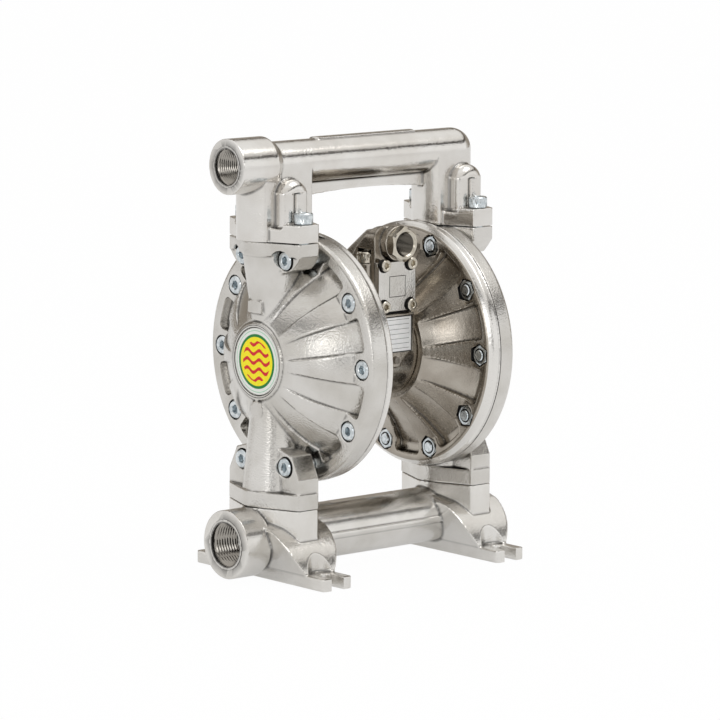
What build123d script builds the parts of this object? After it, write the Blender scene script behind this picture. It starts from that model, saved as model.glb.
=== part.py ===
"""Air operated double diaphragm pump, as separate pieces in one assembly.

Frame, in millimetres: the diaphragm rod lies along X, both pipe ports face -X,
the air valve is at the front (-Y) and Z is up. The origin is on the floor, in the
middle of the four foot slots. Pieces that come in pairs are drawn on the right
(+X) and mirrored to the left.
"""
from build123d import *
from math import cos, radians, sin, sqrt, tan
import os

# Main places
rod_z = 153.0               # height of the diaphragm rod above the floor
leg_x = 81.2                # feet, legs and ball valves, from the middle of the pump
lower_joint_z = 51.2        # inlet manifold meets the covers
upper_joint_z = 237.9       # covers meet the outlet manifold
inlet_pipe_z = 26.7
outlet_pipe_z = 290.5

# Fasteners
screw_r = 4.0               # M8 shank
screw_hole_r = 4.4
head_r = 6.5
head_height = 8.0
head_recess_r = 7.2
socket_across = 6.0
socket_depth = 4.0
nut_across = 13.0
nut_height = 6.5
nut_pocket_across = 13.5
small_screw_r = 2.5         # M5 shank
small_head_r = 4.25
small_head_height = 5.0
small_hole_r = 2.8
small_socket_across = 4.0
fit_gap = 0.05              # clearance on the radius where pieces slide or plug together

# Round covers
cover_screw_circle_r = 76.0
cover_screw_count = 10
split_x = 53.0              # face where the air cover meets the fluid cover
diaphragm_thickness = 3.0
diaphragm_bead_r = 66.0
chamber_mouth_r = 61.0
rib_half_inner = 3.0        # half width of a rib at the badge boss
rib_half_outer = 12.0       # half width of a rib at the rim
pocket_outer_r = 79.5
pocket_corner_r = 3.5

# Fluid cover
fluid_rim_r = 88.5
fluid_face_x = 66.0
fluid_rim_round = 3.5
fluid_shoulder_r = 69.0     # where the ribs leave the flat rim
fluid_rib_mid = (84.5, 51.0)
nose_x = 95.5
nose_r = 29.0
fluid_pocket_depth = 8.0
fluid_pocket_floor_r = 74.0
fluid_floor_mid = (79.5, 54.0)
fluid_wall_mid = (74.5, 48.0)
fluid_chamber_end_x = 88.5
fluid_chamber_end_r = 16.0
badge_ring_r = 26.9
badge_ring_width = 3.3
badge_ring_height = 1.6
badge_seat_depth = 0.4
badge_thickness = 1.8
badge_crown = 0.6

# Air cover
air_rim_r = 85.5
air_face_x = 43.5
air_rim_round = 3.5
air_shoulder_r = 71.0
air_rib_mid = (34.5, 54.0)
air_pocket_depth = 6.0
air_pocket_floor_r = 73.0
air_floor_mid = (38.5, 54.5)
air_wall_mid = (41.5, 55.0)
air_web_x = 31.0            # floor of the air chamber
air_web_r = 42.0
hub_face_x = 23.0           # centre body meets the air cover
spigot_r = 19.8
hub_screw_circle_r = 28.0
hub_screw_count = 6

# Necks of the fluid cover and the joints with the manifolds
flange_half_length = 38.6
flange_tip_half_width = 9.5
flange_round_r = 22.5       # round middle of the flange, also the neck
flange_corner_r = 2.5
lower_flange_height = 11.2
upper_flange_height = 9.5
neck_root_r = 15.5          # neck where it runs into the nose of the cover
neck_pad_x = 97.5           # round pad low on the nose
neck_pad_r = 6.0
neck_pad_drop = 34.0
neck_tag_x = 98.8           # bare rectangle above the nose
neck_tag_half_width = 7.0
neck_tag_low_z = 187.0
neck_tag_high_z = 195.6
ear_front_step = 0.6
ear_screw_face_x = 91.5     # faces of the four screws in the necks
joint_screw_y = 32.0

# Ball valves
ball_r = 12.7
ball_gap = 0.3              # ball held just clear of its seat
ball_lift = 5.0
cage_gap = 0.7              # ball's clearance in its cage
cage_top_margin = 1.2
cage_slot_half_width = 6.0  # flow slots beside the ball
cage_slot_reach = 16.0
cage_crown = 3.0            # the slots run this far past the ball's stop
port_r = 10.0               # passage above each ball valve
seat_height = 6.0
seat_pocket_r = 15.6
seat_bore_r = 8.5
seat_clearance = 0.1
seal_ring_r = 17.6          # seat seal, middle of its round section
seal_section_r = 1.2

# Outlet manifold
outlet_face_x = -123.8
outlet_boss_r = 19.4
outlet_boss_end_x = -92.0
outlet_tube_r = 15.15
outlet_thread_r = 12.06
outlet_thread_depth = 22.0
outlet_bore_r = 10.5
outlet_ledge_height = 9.8
outlet_ear_height = 13.0
elbow_x = 82.5              # centre of the tube's round far end
column_inner_x = 76.2       # centres of the round sides of the legs
column_outer_x = 86.2
boss_side_y = 16.2          # half width of the near leg below the port boss
boss_side_x = 88.2
lobe_half_width = 12.2      # arched lobes at the front and back of each leg
lobe_face_y = 26.0
lobe_face_round = 7.0
lobe_spring_z = 268.8       # centre of the arch
lobe_step_z = 272.0         # the two round ribs below each arch end here
lobe_rib_y = 19.2
web_half = 3.0
web_arch_height = 4.4
web_depth = 11.0            # from the tube's underside to the web's lowest edge
top_pad_half_length = 45.0
top_pad_half_width = 5.0
top_pad_height = 1.2

# Inlet manifold and feet
inlet_face_x = -124.5
inlet_boss_r = 24.2
inlet_boss_end_x = -103.5
inlet_tube_r = 20.0
inlet_thread_r = 15.15
inlet_thread_depth = 24.0
inlet_bore_r = 13.0
foot_half_width = 13.1
foot_tip_y = 70.0
foot_thickness = 8.8
ramp_start_y = 51.5         # the leg's ramp, from the foot's top face up to the flange
ramp_mid = (43.0, 25.0)
ramp_shoulder = (26.8, 38.0)
ramp_top_z = 46.0
ramp_half_width = 25.0      # the leg flares from the foot's width to this
flare_mid = (20.6, 23.0)
flange_skirt_z = 29.0       # the flange's screw columns run down to the ramp here
slot_half_width = 5.25
slot_centre_y = 57.0
washer_recess_r = 12.0
seam_rib_low_z = 24.8
seam_rib_high_z = 27.9
seam_rib_half_length = 60.0
seam_rib_proud = 0.8
tube_flat_z = 46.2
tube_flat_half_length = 30.0
foot_screw_seat_z = 26.0

# Centre body and air valve
hub_r = 34.0
hub_land = 4.0              # plain ring around the hub, before the ribs' hollows start
body_half_width = 17.2
deck_z = 182.0              # air valve stands on the centre body here
label_face_y = -37.0
pedestal_low_z = 153.0
label_low_z = 154.6
label_high_z = 180.4
label_half_width = 14.0
label_thickness = 0.6
tab_half_width = 6.4
tab_low_z = 144.0
tab_screw_z = 149.0
body_back_y = 20.0
gasket_thickness = 0.5
valve_face_y = -33.0
valve_cover_face_y = -38.0
valve_cover_low_z = 184.0
valve_cover_high_z = 219.3
valve_screw_x = 12.3
valve_screw_half_z = 14.65
valve_screw_depth = 4.5
valve_head_sink = 2.2
valve_shoulder_z = 220.0
valve_head_top_z = 244.0
inlet_axis_height = 232.0
air_boss_r = 12.3
air_boss_end_y = -39.5
air_fitting_face_y = -46.3
air_fitting_across = 22.0
air_fitting_shank_r = 10.2
air_thread_r = 7.475
clamp_screw_x = 15.0
clamp_screw_y = -21.7
clamp_ear_r = 7.5
clamp_ear_top_z = 218.0
exhaust_z = 200.0
exhaust_boss_r = 13.5
exhaust_end_y = 34.0
exhaust_thread_r = 9.3
exhaust_depth = 14.0

# Spool valve
sleeve_y = -20.0
sleeve_r = 9.0
sleeve_bore_r = 6.04
sleeve_low_z = 186.0
sleeve_high_z = 214.0
spool_r = 6.0
spool_length = 20.0
spool_waist_r = 4.2
spool_land = 4.0
spool_travel = 3.5          # each way from the middle

# Moving rod and diaphragms
stroke_half = 8.0
rod_r = 8.0
rod_end_x = 46.0
rod_waist_r = 6.8
rod_waist_half = 5.0
plate_r = 35.0
plate_edge_x = 3.2          # thickness of a diaphragm plate at its edge
outer_plate_x = 62.0
outer_plate_nose_r = 15.0
plate_screw_r = 5.0
plate_screw_depth = 20.0
plate_head_across = 17.0
plate_head_height = 6.0
fold_inner_r = 37.5
fold_rise = 6.0
bushing_r = 11.0
bushing_length = 11.0
seal_length = 4.0
spigot_x = 29.0

# Values worked out from those above
pitch = 360 / cover_screw_count
screw_angles = [i * pitch for i in range(cover_screw_count)]
neck_angles = [a for a in screw_angles if abs(sin(radians(a))) > sin(radians(60))]
pocket_angles = [a + pitch / 2 for a in screw_angles]
fluid_pocket_angles = [a for a in pocket_angles if abs(sin(radians(a))) < 0.9]
screw_head_x = fluid_face_x + 0.2
nut_outer_x = air_face_x + 0.1
screw_end_x = nut_outer_x - 1.0
cage_r = ball_r + cage_gap
seat_mouth_r = ball_r
ball_rise = (ball_r + ball_gap) * sqrt(2) - seat_mouth_r
cage_height = ball_rise + ball_r + ball_lift + cage_top_margin
ear_front_x = leg_x + flange_tip_half_width - ear_front_step
ear_back_x = leg_x - flange_tip_half_width
outlet_seat_z = upper_joint_z - seat_height


def turned(outline):
    """Body turned about the rod from a closed outline of (x, radius) lines."""
    return Pos(0, 0, rod_z) * revolve(make_face(outline.edges()), Axis.X)


def rod_disc(x_from, x_to, radius, y=0, z=0):
    """Plain cylinder along the rod, at (y, z) from it."""
    disc = extrude(Plane.YZ * Pos(y, z) * Circle(radius), x_to - x_from)
    return Pos(x_from, 0, rod_z) * disc


def along_x(x_from, x_to, radius, z, y=0):
    """Plain cylinder along X at a height above the floor."""
    return rod_disc(x_from, x_to, radius, y, z - rod_z)


def along_y(y_from, y_to, radius, z, x=0):
    """Plain cylinder along Y."""
    plane = Plane((x, y_from, z), x_dir=(1, 0, 0), z_dir=(0, 1, 0))
    return extrude(plane * Circle(radius), y_to - y_from)


def upright(x, y, z_from, z_to, radius):
    """Plain cylinder along Z."""
    return Pos(x, y, z_from) * extrude(Circle(radius), z_to - z_from)


def side_profile(points, x_from, x_to):
    """Prism along X from an outline given as (y, z) above the floor."""
    outline = Polygon(*points, align=None)
    return Pos(x_from, 0, 0) * extrude(Plane.YZ * outline, x_to - x_from, dir=(1, 0, 0))


def block(x_from, x_to, y_from, y_to, z_from, z_to):
    """Box given by its corners."""
    size = (x_to - x_from, y_to - y_from, z_to - z_from)
    return Pos(x_from, y_from, z_from) * Box(*size, align=(Align.MIN,) * 3)


def around_rod(angle, radius):
    """(y, z) of a place on a circle around the rod."""
    return radius * cos(radians(angle)), radius * sin(radians(angle))


def mirrored(piece):
    """The same piece on the other side of the pump."""
    solids = [mirror(solid, about=Plane.YZ) for solid in piece.solids()]
    return group(solids)


def group(pieces):
    """Several solids as one piece."""
    return Compound(list(pieces))


def cap_screw(shank_r, length, cap_r, cap_height, across):
    """Socket head screw along -Z: the head's underside is at z = 0."""
    head = fillet(Cylinder(cap_r, cap_height, align=(Align.CENTER,) * 2 + (Align.MIN,))
                  .edges().group_by(Axis.Z)[-1], cap_r / 12)
    socket = extrude(RegularPolygon(across / sqrt(3), 6), cap_height / 2)
    head -= Pos(0, 0, cap_height / 2) * socket
    return head + Pos(0, 0, -length) * extrude(Circle(shank_r), length)


def joint_outline(half_length, half_width, round_r, corner_r):
    """Long flange with two screws: a round middle drawn out to two square ends."""
    parts = Circle(round_r).edges()
    for side_y in (-1, 1):
        for side_x in (-1, 1):
            corner = (side_x * (half_width - corner_r), side_y * (half_length - corner_r))
            parts += (Pos(*corner) * Circle(corner_r)).edges()
    return make_hull(parts)


def flange(z_from, height, grow=0):
    outline = joint_outline(flange_half_length + grow, flange_tip_half_width + grow,
                            flange_round_r + grow, flange_corner_r)
    return Pos(leg_x, 0, z_from) * extrude(outline, height)


def rib_pocket(angle, inner_r, outer_r):
    """Outline between two ribs, seen along the rod."""
    half_pitch = radians(pitch / 2)

    def half_width(radius, rib_half):
        return radius * tan(half_pitch) - rib_half / cos(half_pitch)

    near = half_width(inner_r, rib_half_inner)
    far = half_width(outer_r, rib_half_outer)
    wedge = Polygon((inner_r, -near), (outer_r + 5, -far), (outer_r + 5, far), (inner_r, near),
                    align=None)
    wedge &= Circle(outer_r)
    ends = wedge.vertices().group_by(Axis.X)
    wedge = fillet(ends[-1], pocket_corner_r)
    return Rot(0, 0, angle) * wedge


def pockets(angles, inner_r, x_from, x_to):
    """The hollows between the ribs, as one cutter."""
    outlines = Sketch() + [rib_pocket(a, inner_r, pocket_outer_r) for a in angles]
    return Pos(x_from, 0, rod_z) * extrude(Plane.YZ * outlines, x_to - x_from)


def cover_holes(x_from, x_to, radius, angles=screw_angles):
    holes = Sketch() + [Pos(*around_rod(a, cover_screw_circle_r)) * Circle(radius) for a in angles]
    return Pos(x_from, 0, rod_z) * extrude(Plane.YZ * holes, x_to - x_from)


def ball_cage(z_from, z_to_port):
    """Room for a ball to lift in, with flow slots beside it, and the passage beyond."""
    roof_z = z_from + cage_height
    slots = Rectangle(2 * cage_slot_half_width, 2 * cage_slot_reach)
    room = upright(leg_x, 0, z_from, roof_z, cage_r)
    room += Pos(leg_x, 0, z_from) * extrude(slots, cage_height + cage_crown)
    return room + upright(leg_x, 0, roof_z, z_to_port, port_r)


def seal_groove(z_from, depth_up):
    ring = Circle(seal_ring_r + seal_section_r + fit_gap) - Circle(seal_ring_r - seal_section_r - fit_gap)
    height = 2 * seal_section_r + fit_gap
    return Pos(leg_x, 0, z_from if depth_up else z_from - height) * extrude(ring, height)


def round_rim(body, x, radius):
    """Rounds the outermost edge of a turned body, on its face at x."""
    circles = body.edges().filter_by(GeomType.CIRCLE).filter_by_position(Axis.X, x - 0.01, x + 0.01)
    return fillet(circles.sort_by(SortBy.RADIUS)[-1], radius)


def fluid_cover():
    """Outer cover: ribbed dome, rim, two necks and the lower ball's cage."""
    rim_start = (fluid_face_x, fluid_shoulder_r)
    nose = (nose_x, nose_r)
    ribs = (Polyline((nose_x, 0), nose) + ThreePointArc(nose, fluid_rib_mid, rim_start)
            + Polyline(rim_start, (fluid_face_x, fluid_rim_r), (split_x, fluid_rim_r), (split_x, 0),
                       (nose_x, 0)))
    dome = turned(ribs)
    dome = round_rim(dome, fluid_face_x, fluid_rim_round)

    floor_x = fluid_face_x - fluid_pocket_depth
    floor_start = (floor_x, fluid_pocket_floor_r)
    floor = (Polyline((nose_x, 0), nose) + ThreePointArc(nose, fluid_floor_mid, floor_start)
             + Polyline(floor_start, (floor_x, pocket_outer_r + 2), (split_x, pocket_outer_r + 2),
                        (split_x, 0), (nose_x, 0)))
    cover = dome - pockets(fluid_pocket_angles, nose_r, split_x, nose_x + 1) + turned(floor)

    for z_from, height, root_z in (
            (lower_joint_z, lower_flange_height, rod_z - nose_r),
            (upper_joint_z - upper_flange_height, upper_flange_height, rod_z + nose_r)):
        cover += flange(z_from, height)
        cover += neck(z_from, height, root_z)
    cover += ears()
    cover += rod_disc(nose_x - 5, neck_pad_x, neck_pad_r, 0, -neck_pad_drop)
    cover += block(nose_x - 5, neck_tag_x, -neck_tag_half_width, neck_tag_half_width,
                   neck_tag_low_z, neck_tag_high_z)

    chamber_end = (fluid_chamber_end_x, fluid_chamber_end_r)
    mouth = (split_x, chamber_mouth_r)
    chamber = (Line((split_x - 1, 0), (split_x - 1, chamber_mouth_r))
               + Line((split_x - 1, chamber_mouth_r), mouth)
               + ThreePointArc(mouth, fluid_wall_mid, chamber_end)
               + Polyline(chamber_end, (fluid_chamber_end_x, 0), (split_x - 1, 0)))
    cover -= turned(chamber)
    cover -= rod_disc(split_x - 1, split_x + diaphragm_thickness / 2, diaphragm_bead_r + fit_gap)

    lower_port_z = rod_z - fluid_chamber_reach() + 6
    cover -= ball_cage(lower_joint_z, lower_port_z)
    cover -= upright(leg_x, 0, rod_z + fluid_chamber_reach() - 6, outlet_seat_z, port_r)
    cover -= upright(leg_x, 0, outlet_seat_z, upper_joint_z, seat_pocket_r)
    cover -= seal_groove(lower_joint_z, True)
    cover -= block(split_x, leg_x + 40, -flange_half_length, flange_half_length,
                   upper_joint_z, rod_z + fluid_rim_r + 5)

    side_angles = [a for a in screw_angles if a not in neck_angles]
    cover -= cover_holes(split_x, fluid_face_x, screw_hole_r, side_angles)
    cover -= cover_holes(screw_head_x - head_height, nose_x, head_recess_r, side_angles)
    cover -= cover_holes(split_x, ear_screw_face_x, screw_hole_r, neck_angles)
    cover -= cover_holes(ear_screw_face_x - head_height, nose_x + 20, head_recess_r, neck_angles)
    for y in (-joint_screw_y, joint_screw_y):
        cover -= upright(leg_x, y, lower_joint_z, lower_joint_z + 12, screw_r + fit_gap)
        cover -= upright(leg_x, y, upper_joint_z - 8, upper_joint_z, screw_r + fit_gap)
    return cover


def fluid_chamber_reach():
    """Radius of the fluid chamber above and below the rod at the legs, from its outline."""
    (x1, r1), (x2, r2) = fluid_wall_mid, (fluid_chamber_end_x, fluid_chamber_end_r)
    return r1 + (r2 - r1) * (leg_x - x1) / (x2 - x1)


def neck(z_from, height, root_z):
    """Round duct that runs from a joint flange into the nose of the cover."""
    upper = z_from > rod_z
    base_z = z_from if upper else z_from + height
    wide = Pos(leg_x, 0, base_z) * Circle(flange_round_r - ear_front_step)
    narrow = Pos(leg_x, 0, root_z) * Circle(neck_root_r)
    return loft([narrow, wide] if root_z < base_z else [wide, narrow])


def ears():
    """Blocks beside the necks that carry the joint screws and four cover screws."""
    half = flange_half_length - ear_front_step
    boss_y, boss_rise = around_rod(neck_angles[0], cover_screw_circle_r)
    boss_y = abs(boss_y)
    top_z = rod_z + abs(boss_rise)
    low_z = rod_z - abs(boss_rise)
    shoulder = head_recess_r + 1.2
    lower_half = [(half, lower_joint_z), (half, low_z - 8), (boss_y + shoulder, low_z + 4),
                  (boss_y + shoulder - 2, low_z + shoulder), (boss_y - 8, low_z + shoulder + 4)]
    upper_half = [(half, upper_joint_z - upper_flange_height), (half - 4, top_z - 2),
                  (boss_y + shoulder - 2, top_z - shoulder + 2), (boss_y - 8, top_z - shoulder - 2)]
    blocks = Part()
    for half_outline in (lower_half, upper_half):
        other = [(-y, z) for y, z in reversed(half_outline)]
        blocks += side_profile(half_outline + other, ear_back_x, ear_front_x)
    return blocks


def air_cover():
    """Inner cover: dished plate with ribs, hex pockets for the nuts and the hub seat."""
    shoulder = (air_face_x, air_shoulder_r)
    seat = (hub_face_x, hub_r + hub_land)
    ribs = (Polyline((hub_face_x, 0), seat) + ThreePointArc(seat, air_rib_mid, shoulder)
            + Polyline(shoulder, (air_face_x, air_rim_r), (split_x, air_rim_r), (split_x, 0),
                       (hub_face_x, 0)))
    plate = turned(ribs)
    plate = round_rim(plate, air_face_x, air_rim_round)

    floor_x = air_face_x + air_pocket_depth
    floor_start = (floor_x, air_pocket_floor_r)
    floor = (Polyline((hub_face_x, 0), seat) + ThreePointArc(seat, air_floor_mid, floor_start)
             + Polyline(floor_start, (floor_x, pocket_outer_r + 2), (split_x, pocket_outer_r + 2),
                        (split_x, 0), (hub_face_x, 0)))
    cover = plate - pockets(pocket_angles, hub_r + hub_land, hub_face_x - 1, split_x) + turned(floor)

    web = (air_web_x, air_web_r)
    mouth = (split_x, chamber_mouth_r)
    chamber = (ThreePointArc(web, air_wall_mid, mouth)
               + Polyline(mouth, (split_x + 1, chamber_mouth_r), (split_x + 1, 0), (air_web_x, 0), web))
    cover -= turned(chamber)
    cover -= rod_disc(split_x - diaphragm_thickness / 2, split_x + 1, diaphragm_bead_r + fit_gap)
    cover -= rod_disc(hub_face_x, air_web_x, spigot_r + fit_gap)
    cover -= cover_holes(air_face_x, split_x, screw_hole_r)
    cover -= nut_pockets()
    for y, z in hub_screw_places():
        cover -= rod_disc(hub_face_x, air_web_x, small_hole_r, y, z)
        cover -= rod_disc(air_web_x - small_head_height, air_web_x, small_head_r + 0.3, y, z)
    return cover


def nut_pockets():
    pocket = Sketch()
    for angle in screw_angles:
        y, z = around_rod(angle, cover_screw_circle_r)
        pocket += Pos(y, z) * Rot(0, 0, angle + 30) * RegularPolygon(nut_pocket_across / sqrt(3), 6)
    depth = nut_outer_x + nut_height - air_face_x
    return Pos(air_face_x, 0, rod_z) * extrude(Plane.YZ * pocket, depth)


def hub_screw_places():
    return [around_rod(360 / hub_screw_count * i, hub_screw_circle_r) for i in range(hub_screw_count)]


def cover_screws():
    """Ten screws: six in the rim, four longer ones through the necks."""
    pieces = []
    for angle in screw_angles:
        y, z = around_rod(angle, cover_screw_circle_r)
        outer_x = ear_screw_face_x if angle in neck_angles else screw_head_x
        seat_x = outer_x - head_height
        screw = cap_screw(screw_r, seat_x - screw_end_x, head_r, head_height, socket_across)
        pieces.append(Pos(seat_x, y, rod_z + z) * Rot(0, 90, 0) * screw)
    return group(pieces)


def cover_nuts():
    pieces = []
    for angle in screw_angles:
        y, z = around_rod(angle, cover_screw_circle_r)
        outline = Rot(0, 0, angle + 30) * RegularPolygon(nut_across / sqrt(3), 6) - Circle(screw_r + fit_gap)
        pieces.append(Pos(nut_outer_x, y, rod_z + z) * extrude(Plane.YZ * outline, nut_height))
    return group(pieces)


def hub_screws():
    """Six small screws that hold an air cover to the centre body."""
    seat_x = air_web_x - small_head_height
    screw = cap_screw(small_screw_r, seat_x - 12, small_head_r, small_head_height, small_socket_across)
    return group(Pos(seat_x, y, rod_z + z) * Rot(0, 90, 0) * screw for y, z in hub_screw_places())


def joint_screws(seat_z, end_z, head_up):
    """Four screws of a manifold."""
    screw = cap_screw(screw_r, abs(seat_z - end_z), head_r, head_height, socket_across)
    turn = Rot(0, 0, 0) if head_up else Rot(180, 0, 0)
    return group(Pos(x, y, seat_z) * turn * screw
                 for x in (-leg_x, leg_x) for y in (-joint_screw_y, joint_screw_y))


def outlet_column(outer_x, outer_r):
    """Plan of an outlet leg: two round ends drawn together, with flat sides."""
    inner_x = column_inner_x
    plan = Pos(inner_x, 0) * Circle(flange_round_r)
    plan -= Pos(inner_x + 50, 0) * Rectangle(100, 100)
    plan += Pos((inner_x + outer_x) / 2, 0) * Rectangle(outer_x - inner_x, 2 * outlet_tube_r)
    plan += Pos(outer_x, 0) * Circle(outer_r)
    return plan & Pos(leg_x, 0) * Rectangle(100, 2 * outlet_tube_r)


def lobe():
    """Arched lobe on the front of a leg, over two round ribs side by side."""
    arch = Circle(lobe_half_width) & Pos(0, 25 + lobe_step_z - lobe_spring_z) * Rectangle(50, 50)
    slab = Plane.XZ * Pos(leg_x, lobe_spring_z) * arch
    slab = extrude(slab, lobe_face_y)
    front = slab.faces().sort_by(Axis.Y)[0]
    slab = fillet(front.edges().filter_by(GeomType.CIRCLE), lobe_face_round)
    rib_r = lobe_half_width / 2
    stem = block(leg_x - lobe_half_width, leg_x + lobe_half_width, -lobe_rib_y, 0,
                 upper_joint_z, lobe_step_z)
    for x in (leg_x - rib_r, leg_x + rib_r):
        stem += upright(x, -lobe_rib_y, upper_joint_z, lobe_step_z, rib_r)
    return slab + stem


def outlet_leg(column):
    """Right leg of the outlet manifold: flange with raised ears, column and two lobes."""
    leg = Pos(0, 0, upper_joint_z) * extrude(column, outlet_pipe_z - upper_joint_z)
    leg += flange(upper_joint_z, outlet_ledge_height)
    ear = block(leg_x - 50, leg_x + 50, -flange_half_length, head_r - joint_screw_y,
                upper_joint_z, upper_joint_z + outlet_ear_height)
    ear &= flange(upper_joint_z, outlet_ear_height)
    front = lobe() + ear
    return leg + front + mirror(front, about=Plane.XZ)


def outlet_manifold():
    """Top casting: port boss, tube that serves as the handle, two legs with upper cages."""
    far_leg = outlet_leg(outlet_column(elbow_x, outlet_tube_r))
    near_leg = outlet_leg(outlet_column(column_outer_x, flange_round_r))
    boss_side = Pos(column_outer_x, 0) * Circle(flange_round_r)
    boss_side &= Pos(boss_side_x + 50, 0) * Rectangle(100, 2 * boss_side_y)
    near_leg += Pos(0, 0, upper_joint_z) * extrude(boss_side, outlet_pipe_z - upper_joint_z)
    body = far_leg + mirrored(near_leg)
    body += along_x(-leg_x, elbow_x, outlet_tube_r, outlet_pipe_z)
    body += Pos(elbow_x, 0, outlet_pipe_z) * Sphere(outlet_tube_r)
    body += along_x(outlet_face_x, outlet_boss_end_x, outlet_boss_r, outlet_pipe_z)
    body += Pos(outlet_boss_end_x, 0, outlet_pipe_z) * Rot(0, 90, 0) * Cone(
        outlet_boss_r, outlet_tube_r, outlet_boss_r - outlet_tube_r + 2,
        align=(Align.CENTER, Align.CENTER, Align.MIN))
    body += grip_web()
    pad_half = top_pad_half_length
    pad = block(-pad_half, pad_half, -top_pad_half_width, top_pad_half_width,
                outlet_pipe_z, outlet_pipe_z + outlet_tube_r + top_pad_height)
    body += pad & along_x(-pad_half, pad_half, outlet_tube_r + top_pad_height, outlet_pipe_z)

    body -= along_x(outlet_face_x, outlet_face_x + outlet_thread_depth, outlet_thread_r, outlet_pipe_z)
    body -= along_x(outlet_face_x + outlet_thread_depth, leg_x, outlet_bore_r, outlet_pipe_z)
    body -= Pos(leg_x, 0, outlet_pipe_z) * Sphere(outlet_bore_r)
    cage = ball_cage(upper_joint_z, outlet_pipe_z) + seal_groove(upper_joint_z, True)
    body -= cage
    body -= mirrored(cage)
    for x in (-leg_x, leg_x):
        for y in (-joint_screw_y, joint_screw_y):
            body -= upright(x, y, upper_joint_z, upper_joint_z + outlet_ear_height, screw_hole_r)
    return body


def grip_web():
    """Thin web under the handle tube, arched along its lower edge."""
    end_x = leg_x - flange_round_r / 2
    low_z = outlet_pipe_z - outlet_tube_r - web_depth
    arch = ThreePointArc((-end_x, low_z), (0, low_z + web_arch_height), (end_x, low_z))
    outline = arch + Polyline((end_x, low_z), (end_x, outlet_pipe_z), (-end_x, outlet_pipe_z),
                              (-end_x, low_z))
    face = Plane.XZ * make_face(outline.edges())
    return extrude(face, web_half, both=True)


def foot():
    """Right foot and leg of the inlet manifold, without its bores."""
    ramp_start = (ramp_start_y, foot_thickness)
    side = (Polyline((0, 0), (foot_tip_y, 0), (foot_tip_y, foot_thickness), ramp_start)
            + ThreePointArc(ramp_start, ramp_mid, ramp_shoulder)
            + Polyline(ramp_shoulder, (0, ramp_top_z), (0, 0)))
    half_side = extrude(Plane.YZ * make_face(side.edges()), ramp_half_width, both=True)
    flare_start = (foot_half_width, foot_thickness)
    flare_end = (ramp_half_width, ramp_shoulder[1])
    front = (Polyline((0, 0), (foot_half_width, 0), flare_start)
             + ThreePointArc(flare_start, flare_mid, flare_end)
             + Polyline(flare_end, (ramp_half_width, ramp_top_z), (0, ramp_top_z), (0, 0)))
    half_front = extrude(Plane.XZ * make_face(front.edges()), foot_tip_y, both=True)
    shape = half_side + mirror(half_side, about=Plane.XZ)
    shape &= half_front + mirror(half_front, about=Plane.YZ)
    tips = shape.edges().filter_by(Axis.Z).group_by(Axis.Y)
    shape = fillet(tips[0] + tips[-1], flange_corner_r)

    shape = Pos(leg_x, 0, 0) * shape
    shape += upright(leg_x, 0, ramp_shoulder[1], lower_joint_z, flange_round_r - ear_front_step)
    shape += flange(flange_skirt_z, lower_joint_z - flange_skirt_z)
    for side_y in (-1, 1):
        y = side_y * slot_centre_y
        shape -= upright(leg_x, y, foot_thickness, lower_joint_z, washer_recess_r)
        shape -= upright(leg_x, y, 0, foot_thickness, slot_half_width)
        shape -= block(leg_x - slot_half_width, leg_x + slot_half_width,
                       *sorted((y, side_y * foot_tip_y)), 0, foot_thickness)
    return shape


def inlet_manifold():
    """Bottom casting: port boss, tube and two legs that stand on slotted feet."""
    right = foot()
    body = right + mirrored(right)
    body += along_x(-leg_x, leg_x, inlet_tube_r, inlet_pipe_z)
    body += along_x(inlet_face_x, inlet_boss_end_x, inlet_boss_r, inlet_pipe_z)
    body += Pos(inlet_boss_end_x, 0, inlet_pipe_z) * Rot(0, 90, 0) * Cone(
        inlet_boss_r, inlet_tube_r, inlet_boss_r - inlet_tube_r + 2,
        align=(Align.CENTER, Align.CENTER, Align.MIN))
    body += along_x(inlet_boss_end_x, -leg_x, inlet_tube_r, inlet_pipe_z)
    seam_y = inlet_tube_r + seam_rib_proud
    body += block(-seam_rib_half_length, seam_rib_half_length, -seam_y, seam_y,
                  seam_rib_low_z, seam_rib_high_z)
    body -= block(-tube_flat_half_length, tube_flat_half_length, -inlet_tube_r, inlet_tube_r,
                  tube_flat_z, lower_joint_z)

    body -= along_x(inlet_face_x, inlet_face_x + inlet_thread_depth, inlet_thread_r, inlet_pipe_z)
    body -= along_x(inlet_face_x + inlet_thread_depth, leg_x, inlet_bore_r, inlet_pipe_z)
    body -= Pos(leg_x, 0, inlet_pipe_z) * Sphere(inlet_bore_r)
    for x in (-leg_x, leg_x):
        body -= upright(x, 0, inlet_pipe_z, lower_joint_z, seat_bore_r + 1)
        body -= upright(x, 0, lower_joint_z - seat_height, lower_joint_z, seat_pocket_r)
        for y in (-joint_screw_y, joint_screw_y):
            body -= upright(x, y, 0, foot_screw_seat_z, head_recess_r)
            body -= upright(x, y, foot_screw_seat_z, lower_joint_z, screw_hole_r)
    return body


def valve_seat(top_z):
    """Ring with a cone that the ball closes on."""
    r = seat_pocket_r - seat_clearance
    cone = seat_mouth_r - seat_bore_r
    outline = Polyline((seat_bore_r, -seat_height), (r, -seat_height), (r, 0), (seat_mouth_r, 0),
                       (seat_bore_r, -cone), (seat_bore_r, -seat_height))
    ring = revolve(Plane.XZ * make_face(outline.edges()), Axis.Z)
    return Pos(leg_x, 0, top_z) * ring


def seat_seal(joint_z):
    """Round rubber ring in its groove around the seat."""
    section = Plane.XZ * Pos(seal_ring_r, 0) * Circle(seal_section_r)
    return Pos(leg_x, 0, joint_z + seal_section_r) * revolve(section, Axis.Z)


def valve_ball(seat_top_z):
    return Pos(leg_x, 0, seat_top_z + ball_rise) * Sphere(ball_r)


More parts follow.
